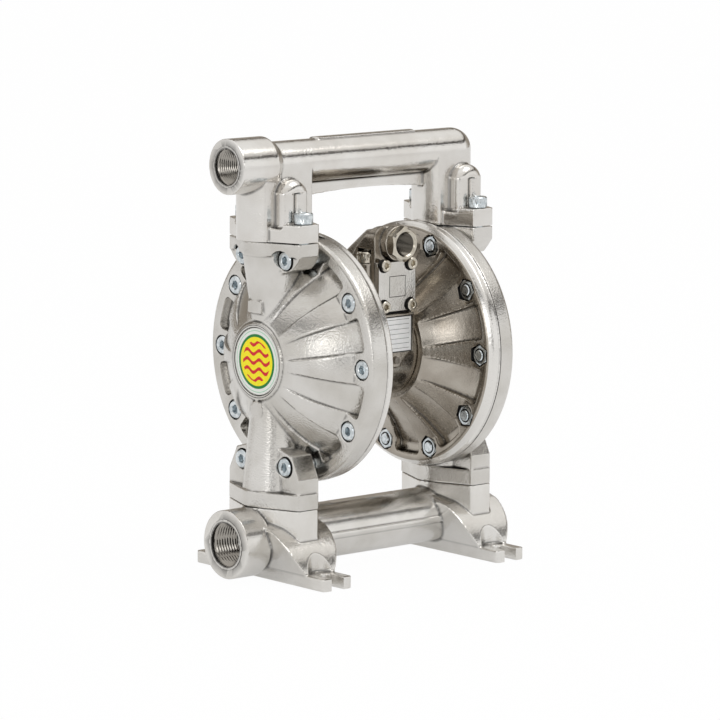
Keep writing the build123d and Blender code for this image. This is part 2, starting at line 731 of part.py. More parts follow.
def diaphragm():
    """Moulded rubber disc with one round fold and a clamped rim."""
    half = diaphragm_thickness / 2
    hinge_r = chamber_mouth_r - 1.0
    middle_r = (fold_inner_r + hinge_r) / 2
    bead = (split_x, hinge_r)
    lower = ThreePointArc((split_x - half, fold_inner_r), (split_x - half - fold_rise, middle_r),
                          (split_x - half, hinge_r))
    upper = ThreePointArc((split_x + half, fold_inner_r), (split_x + half - fold_rise, middle_r),
                          (split_x + half, hinge_r))
    hole_r = plate_screw_r + fit_gap
    outline = (Line((split_x - half, hole_r), (split_x - half, fold_inner_r)) + lower
               + Polyline((split_x - half, hinge_r), (split_x - half, diaphragm_bead_r),
                          (split_x + half, diaphragm_bead_r), (split_x + half, bead[1])) + upper
               + Polyline((split_x + half, fold_inner_r), (split_x + half, hole_r),
                          (split_x - half, hole_r)))
    return turned(outline)


def outer_plate():
    """Fluid side plate: a shallow dish with a nose for the screw."""
    base_x = split_x + diaphragm_thickness / 2
    hole_r = plate_screw_r + fit_gap
    rim = (base_x + plate_edge_x, plate_r)
    nose = (outer_plate_x, outer_plate_nose_r)
    outline = (Polyline((base_x, hole_r), (base_x, plate_r), rim)
               + ThreePointArc(rim, ((rim[0] + nose[0]) / 2 + 1.2, (rim[1] + nose[1]) / 2), nose)
               + Polyline(nose, (outer_plate_x, hole_r), (base_x, hole_r)))
    return turned(outline)


def inner_plate():
    """Air side plate, clamped between the rod and the diaphragm."""
    base_x = split_x - diaphragm_thickness / 2
    hole_r = plate_screw_r + fit_gap
    outline = Polyline((base_x, hole_r), (base_x, plate_r), (base_x - plate_edge_x, plate_r - 1),
                       (rod_end_x, outer_plate_nose_r), (rod_end_x, hole_r), (base_x, hole_r))
    return turned(outline)


def plate_screw():
    """Hexagon screw that holds the plates and the diaphragm on the rod's end."""
    head = Plane.YZ * RegularPolygon(plate_head_across / sqrt(3), 6)
    shank_start = rod_end_x - plate_screw_depth
    screw = rod_disc(shank_start, outer_plate_x, plate_screw_r)
    return screw + Pos(outer_plate_x, 0, rod_z) * extrude(head, plate_head_height)


def diaphragm_rod():
    """Rod that joins both diaphragms, with the pilot groove in its middle."""
    outline = Polyline((-rod_end_x, 0), (-rod_end_x, rod_r), (-rod_waist_half - 2, rod_r),
                       (-rod_waist_half, rod_waist_r), (rod_waist_half, rod_waist_r),
                       (rod_waist_half + 2, rod_r), (rod_end_x, rod_r), (rod_end_x, 0), (-rod_end_x, 0))
    rod = turned(outline)
    for side in (1, -1):
        hole = rod_disc(rod_end_x - plate_screw_depth, rod_end_x, plate_screw_r)
        rod -= hole if side > 0 else mirrored(hole)
    return rod


def rod_ring(x_from, length):
    """Ring around the rod in the centre body."""
    return rod_disc(x_from, x_from + length, bushing_r) - rod_disc(x_from, x_from + length, rod_r + fit_gap)


def centre_body():
    """Middle casting: hub between the air covers, deck for the valve, label face."""
    body = rod_disc(-hub_face_x, hub_face_x, hub_r)
    body += rod_disc(-spigot_x, spigot_x, spigot_r)
    half = body_half_width
    body += block(-half, half, label_face_y, body_back_y, pedestal_low_z, deck_z)
    tab = Polygon((-label_half_width, pedestal_low_z + 1), (-tab_half_width, tab_low_z + 3),
                  (-tab_half_width + 2, tab_low_z), (tab_half_width - 2, tab_low_z),
                  (tab_half_width, tab_low_z + 3), (label_half_width, pedestal_low_z + 1), align=None)
    body += Pos(0, label_face_y, 0) * extrude(Plane.XZ * tab, label_face_y / 3)
    for x in (-clamp_screw_x, clamp_screw_x):
        body += upright(x, clamp_screw_y, deck_z - 18, deck_z, clamp_ear_r)
    body &= block(-spigot_x, spigot_x, -90, 90, 0, deck_z)

    body -= rod_disc(-spigot_x, spigot_x, rod_r + 1)
    ring_depth = bushing_length + seal_length
    for x_from in (-spigot_x, spigot_x - ring_depth):
        body -= rod_disc(x_from, x_from + ring_depth, bushing_r)
    for x in (-clamp_screw_x, clamp_screw_x):
        body -= upright(x, clamp_screw_y, deck_z - 16, deck_z, screw_r + fit_gap)
    for y, z in hub_screw_places():
        body -= rod_disc(12, hub_face_x, small_screw_r + fit_gap, y, z)
        body -= rod_disc(-hub_face_x, -12, small_screw_r + fit_gap, y, z)
    body -= along_y(label_face_y - 1, label_face_y + 7, 1.5 + fit_gap, tab_screw_z)
    return body


def valve_body():
    """Air valve casting: cover face, inlet boss on top, sloping back and exhaust port."""
    foot_z = deck_z + gasket_thickness
    half = body_half_width
    lower = block(-half, half, valve_face_y, body_back_y, foot_z, valve_shoulder_z - 8)
    face = block(-half, half, valve_face_y, clamp_screw_y + 10, foot_z, valve_shoulder_z)
    head = side_profile([(valve_face_y, valve_shoulder_z - 4), (valve_face_y, valve_head_top_z),
                         (-28, valve_head_top_z), (-12, valve_shoulder_z + 8), (-4, valve_shoulder_z - 4)],
                        -half, half)
    top_edges = head.edges().filter_by(Axis.Y).group_by(Axis.Z)[-1]
    head = fillet(top_edges, half / 2)
    spine = side_profile([(-30, valve_shoulder_z - 6), (-30, valve_head_top_z - 3),
                          (-17, valve_head_top_z - 3), (body_back_y, valve_shoulder_z - 7),
                          (body_back_y, valve_shoulder_z - 20)], -half * 0.6, half * 0.6)
    spine = fillet(spine.edges().filter_by(Axis.X).group_by(Axis.Z)[-1].sort_by(Axis.Y)[-1], 7)
    body = lower + face + head + spine
    for x in (-clamp_screw_x, clamp_screw_x):
        body += upright(x, clamp_screw_y, foot_z, clamp_ear_top_z, clamp_ear_r)
    body += along_y(air_boss_end_y, valve_face_y + 4, air_boss_r, inlet_axis_height)
    body += along_y(body_back_y - 4, exhaust_end_y, exhaust_boss_r, exhaust_z)

    for x in (-clamp_screw_x, clamp_screw_x):
        body -= upright(x, clamp_screw_y, clamp_ear_top_z, clamp_ear_top_z + head_height + 2, clamp_ear_r)
        body -= upright(x, clamp_screw_y, foot_z, clamp_ear_top_z, screw_hole_r)
    shank_end = air_boss_end_y + 12
    body -= along_y(air_boss_end_y, shank_end, air_fitting_shank_r, inlet_axis_height)
    body -= along_y(shank_end, sleeve_y + 3, sleeve_bore_r - 1, inlet_axis_height)
    body -= upright(0, sleeve_y, sleeve_high_z, inlet_axis_height, sleeve_bore_r - 1)
    body -= upright(0, sleeve_y, foot_z, sleeve_high_z, sleeve_r + fit_gap)
    body -= along_y(exhaust_end_y - exhaust_depth, exhaust_end_y, exhaust_thread_r, exhaust_z)
    body -= along_y(sleeve_y, exhaust_end_y, sleeve_bore_r - 1, exhaust_z)
    for x, z in valve_screw_places():
        body -= along_y(valve_face_y, valve_face_y + valve_screw_depth, small_screw_r + fit_gap, z, x)
    return body


def valve_screw_places():
    middle = (valve_cover_low_z + valve_cover_high_z) / 2 + 0.9
    return [(x, middle + z) for x in (-valve_screw_x, valve_screw_x)
            for z in (-valve_screw_half_z, valve_screw_half_z)]


def valve_plate(y_from, y_to, hole_r):
    """Rectangular plate on the valve's front, with its four holes."""
    plate = block(-body_half_width, body_half_width, y_from, y_to, valve_cover_low_z, valve_cover_high_z)
    plate = fillet(plate.edges().filter_by(Axis.Y), 1.5)
    for x, z in valve_screw_places():
        plate -= along_y(y_from, y_to, hole_r, z, x)
    return plate


def valve_cover():
    """Front cover with its corners cut away around the screw heads."""
    plate = valve_plate(valve_cover_face_y, valve_face_y - gasket_thickness, small_hole_r)
    for x, z in valve_screw_places():
        plate -= along_y(valve_cover_face_y, valve_cover_face_y + valve_head_sink, small_head_r + 0.7, z, x)
    return plate


def valve_cover_screws():
    seat_y = valve_cover_face_y + valve_head_sink
    screw = cap_screw(small_screw_r, valve_face_y + valve_screw_depth - seat_y, small_head_r, small_head_height,
                      small_socket_across)
    return group(Pos(x, seat_y, z) * Rot(90, 0, 0) * screw for x, z in valve_screw_places())


def valve_base_gasket():
    """Flat gasket between the valve casting and the deck."""
    half = body_half_width
    plate = block(-half, half, valve_face_y, body_back_y, deck_z, deck_z + gasket_thickness)
    for x in (-clamp_screw_x, clamp_screw_x):
        plate += upright(x, clamp_screw_y, deck_z, deck_z + gasket_thickness, clamp_ear_r)
        plate -= upright(x, clamp_screw_y, deck_z, deck_z + gasket_thickness, screw_hole_r)
    return plate


def clamp_screws():
    """Two tall screws that hold the valve casting down on the deck."""
    screw = cap_screw(screw_r, clamp_ear_top_z - deck_z + 14, head_r, head_height, socket_across)
    return group(Pos(x, clamp_screw_y, clamp_ear_top_z) * screw for x in (-clamp_screw_x, clamp_screw_x))


def air_inlet_fitting():
    """Hexagon bush with the air inlet's thread."""
    length = air_boss_end_y - air_fitting_face_y
    outline = RegularPolygon(air_fitting_across / sqrt(3), 6)
    plane = Plane((0, air_fitting_face_y, inlet_axis_height), x_dir=(0, 0, 1), z_dir=(0, 1, 0))
    fitting = extrude(plane * outline, length)
    fitting += along_y(air_boss_end_y, air_boss_end_y + 11, air_fitting_shank_r - fit_gap, inlet_axis_height)
    return fitting - along_y(air_fitting_face_y, air_boss_end_y + 11, air_thread_r, inlet_axis_height)


def spool_sleeve():
    sleeve = upright(0, sleeve_y, sleeve_low_z, sleeve_high_z, sleeve_r)
    sleeve -= upright(0, sleeve_y, sleeve_low_z, sleeve_high_z, sleeve_bore_r)
    window_z = (sleeve_low_z + sleeve_high_z) / 2
    for z in (window_z - 6, window_z, window_z + 6):
        sleeve -= along_y(sleeve_y - sleeve_r - 1, sleeve_y + sleeve_r + 1, 1.5, z)
    return sleeve


def spool_plug():
    """Disc that closes the sleeve above the gasket."""
    return upright(0, sleeve_y, deck_z + gasket_thickness, sleeve_low_z, sleeve_r)


def valve_spool():
    """Spool with three lands and two waists."""
    half = spool_length / 2
    middle = (sleeve_low_z + sleeve_high_z) / 2
    land = spool_land / 2
    outline = Polyline((0, -half), (spool_r, -half), (spool_r, -half + spool_land),
                       (spool_waist_r, -half + spool_land), (spool_waist_r, -land), (spool_r, -land),
                       (spool_r, land), (spool_waist_r, land), (spool_waist_r, half - spool_land),
                       (spool_r, half - spool_land), (spool_r, half), (0, half), (0, -half))
    return Pos(0, sleeve_y, middle) * revolve(Plane.XZ * make_face(outline.edges()), Axis.Z)


def badge_seat():
    """Raised ring on the nose of the left cover, with the recess for the badge."""
    ring = rod_disc(nose_x - 1, nose_x + badge_ring_height, badge_ring_r)
    return ring - rod_disc(nose_x - badge_seat_depth, nose_x + 5, badge_ring_r - badge_ring_width)


def badge():
    """Round badge disc with a low crown."""
    radius = badge_ring_r - badge_ring_width - 0.3
    back_x = nose_x - badge_seat_depth
    edge_x = back_x + badge_thickness - badge_crown
    top_x = back_x + badge_thickness
    flat_r = radius / 4
    crown = ThreePointArc((edge_x, radius), (top_x - badge_crown / 5, radius * 0.6), (top_x, flat_r))
    outline = Polyline((top_x, flat_r), (top_x, 0), (back_x, 0), (back_x, radius), (edge_x, radius)) + crown
    return turned(outline)


def label_plate():
    return block(-label_half_width, label_half_width, label_face_y - label_thickness, label_face_y,
                 label_low_z, label_high_z)


def tab_screw():
    """Small round head screw below the label."""
    head = along_y(label_face_y - 1.6, label_face_y, 2.6, tab_screw_z)
    return head + along_y(label_face_y, label_face_y + 6, 1.5, tab_screw_z)


def left_fluid_cover():
    cover = fluid_cover() - rod_disc(nose_x - badge_seat_depth, nose_x + 5, badge_ring_r - badge_ring_width)
    return mirrored(cover + badge_seat())


def pair(name, piece):
    """The same piece on both sides, named left and right."""
    return {"left_" + name: mirrored(piece), "right_" + name: piece}


def all_pieces():
    pieces = {
        "outlet_manifold": outlet_manifold(),
        "inlet_manifold": inlet_manifold(),
        "left_fluid_cover": left_fluid_cover(),
        "right_fluid_cover": fluid_cover(),
        "outlet_manifold_screws": joint_screws(upper_joint_z + outlet_ear_height, upper_joint_z - 7, True),
        "inlet_manifold_screws": joint_screws(foot_screw_seat_z, lower_joint_z + 11, False),
        "centre_body": centre_body(),
        "diaphragm_rod": diaphragm_rod(),
        "valve_body": valve_body(),
        "valve_base_gasket": valve_base_gasket(),
        "valve_clamp_screws": clamp_screws(),
        "valve_cover": valve_cover(),
        "valve_cover_gasket": valve_plate(valve_face_y - gasket_thickness, valve_face_y, small_hole_r),
        "valve_cover_screws": valve_cover_screws(),
        "spool_sleeve": spool_sleeve(),
        "spool_plug": spool_plug(),
        "valve_spool": valve_spool(),
        "air_inlet_fitting": air_inlet_fitting(),
        "left_badge": mirrored(badge()),
        "label_plate": label_plate(),
        "tab_screw": tab_screw(),
    }
    pieces |= pair("air_cover", air_cover())
    pieces |= pair("cover_screws", cover_screws())
    pieces |= pair("cover_nuts", cover_nuts())
    pieces |= pair("hub_screws", hub_screws())
    pieces |= pair("diaphragm", diaphragm())
    pieces |= pair("outer_plate", outer_plate())
    pieces |= pair("inner_plate", inner_plate())
    pieces |= pair("plate_screw", plate_screw())
    pieces |= pair("rod_seal", rod_ring(spigot_x - seal_length, seal_length))
    pieces |= pair("rod_bushing", rod_ring(spigot_x - seal_length - bushing_length, bushing_length))
    pieces |= pair("inlet_seat", valve_seat(lower_joint_z))
    pieces |= pair("outlet_seat", valve_seat(upper_joint_z))
    pieces |= pair("inlet_seal", seat_seal(lower_joint_z))
    pieces |= pair("outlet_seal", seat_seal(upper_joint_z))
    pieces |= pair("inlet_ball", valve_ball(lower_joint_z))
    pieces |= pair("outlet_ball", valve_ball(upper_joint_z))
    return pieces


os.makedirs("parts", exist_ok=True)
for name, piece in all_pieces().items():
    export_step(piece, f"parts/{name}.step")
    print(name, round(piece.volume), "mm3")
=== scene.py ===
# %% [markdown]
# # An air operated diaphragm pump, dressed for a studio picture
#
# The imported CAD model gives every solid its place. This lesson keeps that frame and adds
# what makes the pump look real: cast metal with soft edges, machined faces and threads,
# plated screws, a printed badge, and a plain white studio around it.

from math import cos, pi, radians, sin, sqrt, tan

import bmesh
import bpy
import numpy as np
from mathutils import Matrix, Vector


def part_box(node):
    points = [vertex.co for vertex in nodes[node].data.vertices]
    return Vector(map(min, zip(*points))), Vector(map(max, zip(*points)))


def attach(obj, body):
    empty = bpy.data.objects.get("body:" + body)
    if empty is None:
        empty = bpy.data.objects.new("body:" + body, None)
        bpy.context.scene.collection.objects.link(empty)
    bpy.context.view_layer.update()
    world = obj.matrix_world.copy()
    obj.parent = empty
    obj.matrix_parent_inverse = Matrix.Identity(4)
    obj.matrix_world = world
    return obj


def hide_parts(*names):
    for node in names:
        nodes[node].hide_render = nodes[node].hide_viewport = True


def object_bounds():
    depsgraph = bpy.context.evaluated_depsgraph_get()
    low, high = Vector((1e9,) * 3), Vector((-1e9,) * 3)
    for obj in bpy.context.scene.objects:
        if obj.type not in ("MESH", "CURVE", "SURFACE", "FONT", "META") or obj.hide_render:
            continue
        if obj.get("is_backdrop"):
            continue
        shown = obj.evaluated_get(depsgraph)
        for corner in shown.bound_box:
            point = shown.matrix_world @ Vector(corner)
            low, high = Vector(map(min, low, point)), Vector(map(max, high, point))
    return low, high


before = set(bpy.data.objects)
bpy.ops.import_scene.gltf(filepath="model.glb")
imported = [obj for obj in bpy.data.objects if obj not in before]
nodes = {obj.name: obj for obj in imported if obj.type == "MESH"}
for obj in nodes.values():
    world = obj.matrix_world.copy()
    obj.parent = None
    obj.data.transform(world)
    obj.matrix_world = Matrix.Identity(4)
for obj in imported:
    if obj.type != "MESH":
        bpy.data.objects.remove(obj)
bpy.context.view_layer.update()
scene = bpy.context.scene
mm = 0.001

# %% [markdown]
# ## The camera
#
# The photograph was taken with a long lens from the front left, a little above the pump.
# The camera is placed by its azimuth, elevation and distance around a point inside the
# pump, and is turned by a third of a degree, because the picture isn't quite level.

# %% Camera
view_azimuth = radians(-40.934)
view_elevation = radians(8.603)
view_roll = radians(0.316)
view_distance = 3.052
view_target = Vector((-0.00146, 0.0, 0.14503))
sensor_width = 36.0
lens_length = 215.09


def new_object(name, data):
    """Object in the scene that carries this mesh, lamp or camera."""
    thing = bpy.data.objects.new(name, data)
    scene.collection.objects.link(thing)
    return thing


camera_data = bpy.data.cameras.new("camera")
camera_data.sensor_width = sensor_width
camera_data.lens = lens_length
camera = new_object("camera", camera_data)
around = Matrix.Rotation(view_azimuth, 4, "Z")
tilt = Matrix.Rotation(pi / 2 - view_elevation, 4, "X")
roll = Matrix.Rotation(view_roll, 4, "Z")
step_back = Matrix.Translation((0, 0, view_distance))
camera.matrix_world = Matrix.Translation(view_target) @ around @ tilt @ roll @ step_back
scene.camera = camera
scene.view_settings.view_transform = "Standard"
print("camera at", [round(c, 3) for c in camera.matrix_world.translation])

# %% [markdown]
# ## Small helpers for node materials
#
# Every finish here is made of nodes: noise for grain and stains, ramps that turn the noise
# into colour, and bump for what is too fine to model. A few short helpers keep the cells
# that follow readable.

# %% Noise, ramps and bump
def add_node(tree, kind, **settings):
    """Adds a node, sets its plain properties, and returns it."""
    node = tree.nodes.new(kind)
    for name, value in settings.items():
        setattr(node, name, value)
    return node


def position_in(tree):
    """The surface's own place in metres, the same at every pose and from every side."""
    return add_node(tree, "ShaderNodeTexCoord").outputs["Object"]


def noise(tree, size, detail=2.0):
    """Noise whose blotches are about this large, in metres."""
    node = add_node(tree, "ShaderNodeTexNoise")
    node.inputs["Scale"].default_value = 1 / size
    node.inputs["Detail"].default_value = detail
    tree.links.new(position_in(tree), node.inputs["Vector"])
    return node.outputs["Fac"]


def ramp(tree, factor, stops):
    """Colour ramp from (place, colour) stops."""
    node = add_node(tree, "ShaderNodeValToRGB")
    line = node.color_ramp
    while len(line.elements) < len(stops):
        line.elements.new(0.5)
    for element, (place, colour) in zip(line.elements, stops):
        element.position = place
        element.color = (*colour, 1)
    tree.links.new(factor, node.inputs["Fac"])
    return node.outputs["Color"]


def spread(tree, factor, low, high):
    """Turns noise into a value between low and high."""
    node = add_node(tree, "ShaderNodeMapRange")
    node.inputs["From Min"].default_value = 0.3
    node.inputs["From Max"].default_value = 0.7
    node.inputs["To Min"].default_value = low
    node.inputs["To Max"].default_value = high
    tree.links.new(factor, node.inputs["Value"])
    return node.outputs["Result"]


def bump(tree, height, depth, below=None):
    """Bump of a depth in metres, stacked on the one below it."""
    node = add_node(tree, "ShaderNodeBump")
    node.inputs["Distance"].default_value = depth
    tree.links.new(height, node.inputs["Height"])
    if below:
        tree.links.new(below, node.inputs["Normal"])
    return node.outputs["Normal"]


# %% Sums, mixes and an empty material
def calculate(tree, operation, *values):
    """One sum on numbers or on values from other nodes."""
    node = add_node(tree, "ShaderNodeMath", operation=operation)
    for socket, value in zip(node.inputs, values):
        if isinstance(value, (int, float)):
            socket.default_value = value
        else:
            tree.links.new(value, socket)
    return node.outputs[0]


def mixed(tree, share, below, above):
    """Colour below where the share is 0, colour above where it is 1."""
    node = add_node(tree, "ShaderNodeMix", data_type="RGBA")
    tree.links.new(share, node.inputs[0])
    for socket, colour in ((node.inputs[6], below), (node.inputs[7], above)):
        if isinstance(colour, tuple):
            socket.default_value = (*colour, 1)
        else:
            tree.links.new(colour, socket)
    return node.outputs[2]


def parts_of(tree, vector):
    """The X, Y and Z of a vector."""
    node = add_node(tree, "ShaderNodeSeparateXYZ")
    tree.links.new(vector, node.inputs[0])
    return node.outputs


def distance_from_axis(tree, axis_point, across_axis):
    """Distance from a line; across_axis picks the two directions at right angles to it."""
    offset = add_node(tree, "ShaderNodeVectorMath", operation="SUBTRACT")
    offset.inputs[1].default_value = axis_point
    tree.links.new(position_in(tree), offset.inputs[0])
    flat = add_node(tree, "ShaderNodeVectorMath", operation="MULTIPLY")
    flat.inputs[1].default_value = across_axis
    tree.links.new(offset.outputs[0], flat.inputs[0])
    length = add_node(tree, "ShaderNodeVectorMath", operation="LENGTH")
    tree.links.new(flat.outputs[0], length.inputs[0])
    return length.outputs["Value"]


def blank_material(name):
    """A material with one Principled shader, and the tree it lives in."""
    material = bpy.data.materials.new(name)
    material.use_nodes = True
    shader = material.node_tree.nodes["Principled BSDF"]
    return material, material.node_tree, shader

# %% [markdown]
# ## Cast and plated metal
#
# The castings are aluminium, blasted with fine beads and nickel plated. Up close the skin
# is a fine even grain. From further away it is a satin pale silver, a little warm, with
# faint stains. The finishes share one recipe. The outer covers are blasted, and so are the
# feet, but finer. The outlet tube, which is the handle, was polished before plating, so it
# mirrors more sharply. The castings between the outer covers are given a darker, warmer
# colour as painted shade, but the rims of the two round ones are left as bright as the tube.
#
# Inner corners get a darker line of painted shade. A casting's mesh says at each of its
# points how hollow it is, and the finish darkens by that.

# %% Cast metal
rod_z = 153.0 * mm
bright_rim_r = 84.6 * mm
stain_size = 30 * mm
pore_size = 1.3 * mm
wave_size = 14 * mm
wave_depth = 0.18 * mm
corner_shade_share = 0.18


def cast_metal(name, pale, stained, roughness, grain_depth, rim=None):
    """Plated casting with a (low, high) roughness; a rim colour takes over far from the rod."""
    material, tree, shader = blank_material(name)
    tint = ramp(tree, noise(tree, stain_size, 4), [(0.35, stained), (0.62, pale)])
    if rim:
        distance = distance_from_axis(tree, (0, 0, rod_z), (0, 1, 1))
        tint = mixed(tree, calculate(tree, "GREATER_THAN", distance, bright_rim_r), tint, rim)
    # Painted shade: hollow places darken toward a small share of the stained colour.
    hollow = add_node(tree, "ShaderNodeAttribute", attribute_name="hollow").outputs["Fac"]
    tint = mixed(tree, hollow, tint, tuple(corner_shade_share * part for part in stained))
    pores = noise(tree, pore_size, 4)
    waves = noise(tree, wave_size, 2)
    skin = bump(tree, pores, grain_depth, bump(tree, waves, wave_depth))
    tree.links.new(tint, shader.inputs["Base Color"])
    tree.links.new(spread(tree, pores, *roughness), shader.inputs["Roughness"])
    tree.links.new(skin, shader.inputs["Normal"])
    shader.inputs["Metallic"].default_value = 1.0
    return material


blasted = cast_metal("blasted_casting", pale=(0.68, 0.665, 0.64), stained=(0.57, 0.55, 0.515),
                     roughness=(0.14, 0.26), grain_depth=0.20 * mm)
bright = (0.76, 0.745, 0.72)
polished = cast_metal("smooth_casting", bright, stained=(0.68, 0.655, 0.62),
                      roughness=(0.10, 0.20), grain_depth=0.10 * mm)
foot_casting = cast_metal("foot_casting", pale=(0.78, 0.765, 0.74), stained=(0.69, 0.67, 0.635),
                          roughness=(0.17, 0.27), grain_depth=0.07 * mm)
# Painted shade: the castings between the outer covers get a darker, warmer colour; the dishes keep a
# bright rim.
inner_shade_look = {"pale": (0.46, 0.425, 0.375), "stained": (0.33, 0.295, 0.25),
              "roughness": (0.17, 0.28), "grain_depth": 0.05 * mm}
inner_shaded_casting = cast_metal("inner_shaded_casting", **inner_shade_look)
dish_casting = cast_metal("dish_casting", **inner_shade_look, rim=bright)
print("cast finishes:", blasted.name, polished.name, foot_casting.name, inner_shaded_casting.name)

# %% [markdown]
# ## Machined metal
#
# Port faces and threads were cut after casting. A turned face carries very fine rings
# around its axis. They are bands of the distance from the port's middle line, used as
# bump, so the face catches light in two opposite fans as turned faces do. Threads have the
# same finish, only darker, because little light gets down to them.

# %% Machined metal
ring_width = 0.35 * mm
ring_depth = 0.03 * mm
smudge_size = 6 * mm


def machined_metal(name, colour, roughness, axis_point, across_axis):
    """Metal turned around an axis."""
    material, tree, shader = blank_material(name)
    rings = add_node(tree, "ShaderNodeTexNoise", noise_dimensions="1D")
    rings.inputs["Scale"].default_value = 1 / ring_width
    tree.links.new(distance_from_axis(tree, axis_point, across_axis), rings.inputs["W"])
    smudges = noise(tree, smudge_size, 3)
    rough = spread(tree, smudges, roughness - 0.04, roughness + 0.05)
    tree.links.new(bump(tree, rings.outputs["Fac"], ring_depth), shader.inputs["Normal"])
    tree.links.new(rough, shader.inputs["Roughness"])
    shader.inputs["Base Color"].default_value = (*colour, 1)
    shader.inputs["Metallic"].default_value = 1.0
    return material


outlet_z = 290.5 * mm
inlet_z = 26.7 * mm
air_inlet_z = 232.0 * mm
face_look = {"colour": (0.66, 0.64, 0.61), "roughness": 0.22, "across_axis": (0, 1, 1)}
thread_look = {"colour": (0.36, 0.34, 0.31), "roughness": 0.14, "across_axis": (0, 1, 1)}
machined_outlet = machined_metal("machined_outlet", axis_point=(0, 0, outlet_z), **face_look)
machined_inlet = machined_metal("machined_inlet", axis_point=(0, 0, inlet_z), **face_look)
threaded_outlet = machined_metal("threaded_outlet", axis_point=(0, 0, outlet_z), **thread_look)
threaded_inlet = machined_metal("threaded_inlet", axis_point=(0, 0, inlet_z), **thread_look)
# Painted shade: the air bush's thread is nearly black, for the shade deep in its bore.
threaded_air = machined_metal("threaded_air", (0.11, 0.10, 0.085), 0.20, (0, 0, air_inlet_z), (1, 0, 1))
print("machined finishes:", machined_outlet.name, machined_inlet.name, threaded_air.name)

# %% [markdown]
# ## Screws, fitting, rubber and the rest
#
# Screws and nuts are steel with a thin bluish zinc coat, duller in spots. Down in their
# recesses they get a near-black painted shade. The air inlet's bush is brass under nickel,
# so it is yellower than the castings, and the air valve's screws share that warmer plating.
# Rubber, bearing plastic and the white balls sit inside, and only show when the pump is
# opened.

# %% Plain finishes
def simple_finish(name, pale, dark, metallic, roughness, blotch, grain, depth):
    """Two colours in blotches, a (low, high) roughness, and grain of a size and depth."""
    material, tree, shader = blank_material(name)
    tint = ramp(tree, noise(tree, blotch, 3), [(0.38, dark), (0.62, pale)])
    fine = noise(tree, grain, 2)
    tree.links.new(tint, shader.inputs["Base Color"])
    tree.links.new(spread(tree, fine, *roughness), shader.inputs["Roughness"])
    tree.links.new(bump(tree, fine, depth), shader.inputs["Normal"])
    shader.inputs["Metallic"].default_value = metallic
    return material


zinc = simple_finish("zinc_plate", (0.74, 0.78, 0.80), (0.50, 0.55, 0.58), 1.0,
                     (0.14, 0.24), 2.5 * mm, 0.5 * mm, 0.02 * mm)
# Painted shade: a near-black finish for walls down in recesses, pockets and grooves.
recess_shade = simple_finish("recess_shade_steel", (0.050, 0.048, 0.045), (0.020, 0.019, 0.018), 0.6,
                     (0.30, 0.45), 2 * mm, 0.5 * mm, 0.02 * mm)
dull = simple_finish("dull_screw", (0.30, 0.275, 0.24), (0.20, 0.18, 0.155), 1.0,
                     (0.30, 0.42), 2 * mm, 0.5 * mm, 0.02 * mm)
brass = simple_finish("nickel_on_brass", (0.64, 0.60, 0.52), (0.50, 0.46, 0.39), 1.0,
                      (0.12, 0.18), 5 * mm, 0.6 * mm, 0.015 * mm)
steel = simple_finish("ground_steel", (0.62, 0.63, 0.64), (0.52, 0.53, 0.54), 1.0,
                      (0.15, 0.25), 8 * mm, 0.4 * mm, 0.01 * mm)
aluminium = simple_finish("turned_aluminium", (0.70, 0.70, 0.71), (0.60, 0.60, 0.61), 1.0,
                          (0.28, 0.40), 8 * mm, 0.4 * mm, 0.02 * mm)
rubber = simple_finish("black_rubber", (0.030, 0.030, 0.032), (0.018, 0.018, 0.019), 0.0,
                       (0.55, 0.75), 6 * mm, 0.5 * mm, 0.03 * mm)
bearing = simple_finish("bearing_plastic", (0.30, 0.27, 0.22), (0.24, 0.21, 0.17), 0.0,
                        (0.45, 0.60), 5 * mm, 0.5 * mm, 0.02 * mm)
ball_white = simple_finish("white_plastic", (0.86, 0.86, 0.84), (0.80, 0.80, 0.77), 0.0,
                           (0.30, 0.42), 9 * mm, 0.6 * mm, 0.01 * mm)
print("plain finishes made")

# %% [markdown]
# ## Helpers that make and place pieces
#
# A piece can start in three ways here: as rings of points joined into a turned shape, as
# many copies of one shape at stated places, or as a copy of a CAD casting. All three end
# in the same short routine, which gives the piece its finish and lets it ride on a body.

# %% Shading and finish of a piece
def shade(mesh, sharp_angle=38):
    """Smooth shading that keeps edges sharper than the angle."""
    mesh.shade_smooth()
    mesh.set_sharp_from_angle(angle=radians(sharp_angle))


def finish_piece(piece, finishes, body="pump", stands_for=()):
    """Finishes, body and replaced nodes of a piece in one call."""
    materials = piece.data.materials
    for i, finish in enumerate(finishes):
        if i < len(materials):
            materials[i] = finish
        else:
            materials.append(finish)
    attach(piece, body)
    if stands_for:
        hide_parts(*stands_for)
    return piece


# %% Object from a shape
def piece_from(name, shape, sharp_angle=38):
    """Object from a shape: its points, its faces, and which finish each face has."""
    points, faces, marks = shape
    mesh = bpy.data.meshes.new(name)
    mesh.from_pydata([tuple(p) for p in points], [], faces)
    mesh.polygons.foreach_set("material_index", marks)
    work = bmesh.new()
    work.from_mesh(mesh)
    bmesh.ops.recalc_face_normals(work, faces=work.faces)
    work.to_mesh(mesh)
    work.free()
    shade(mesh, sharp_angle)
    return new_object(name, mesh)


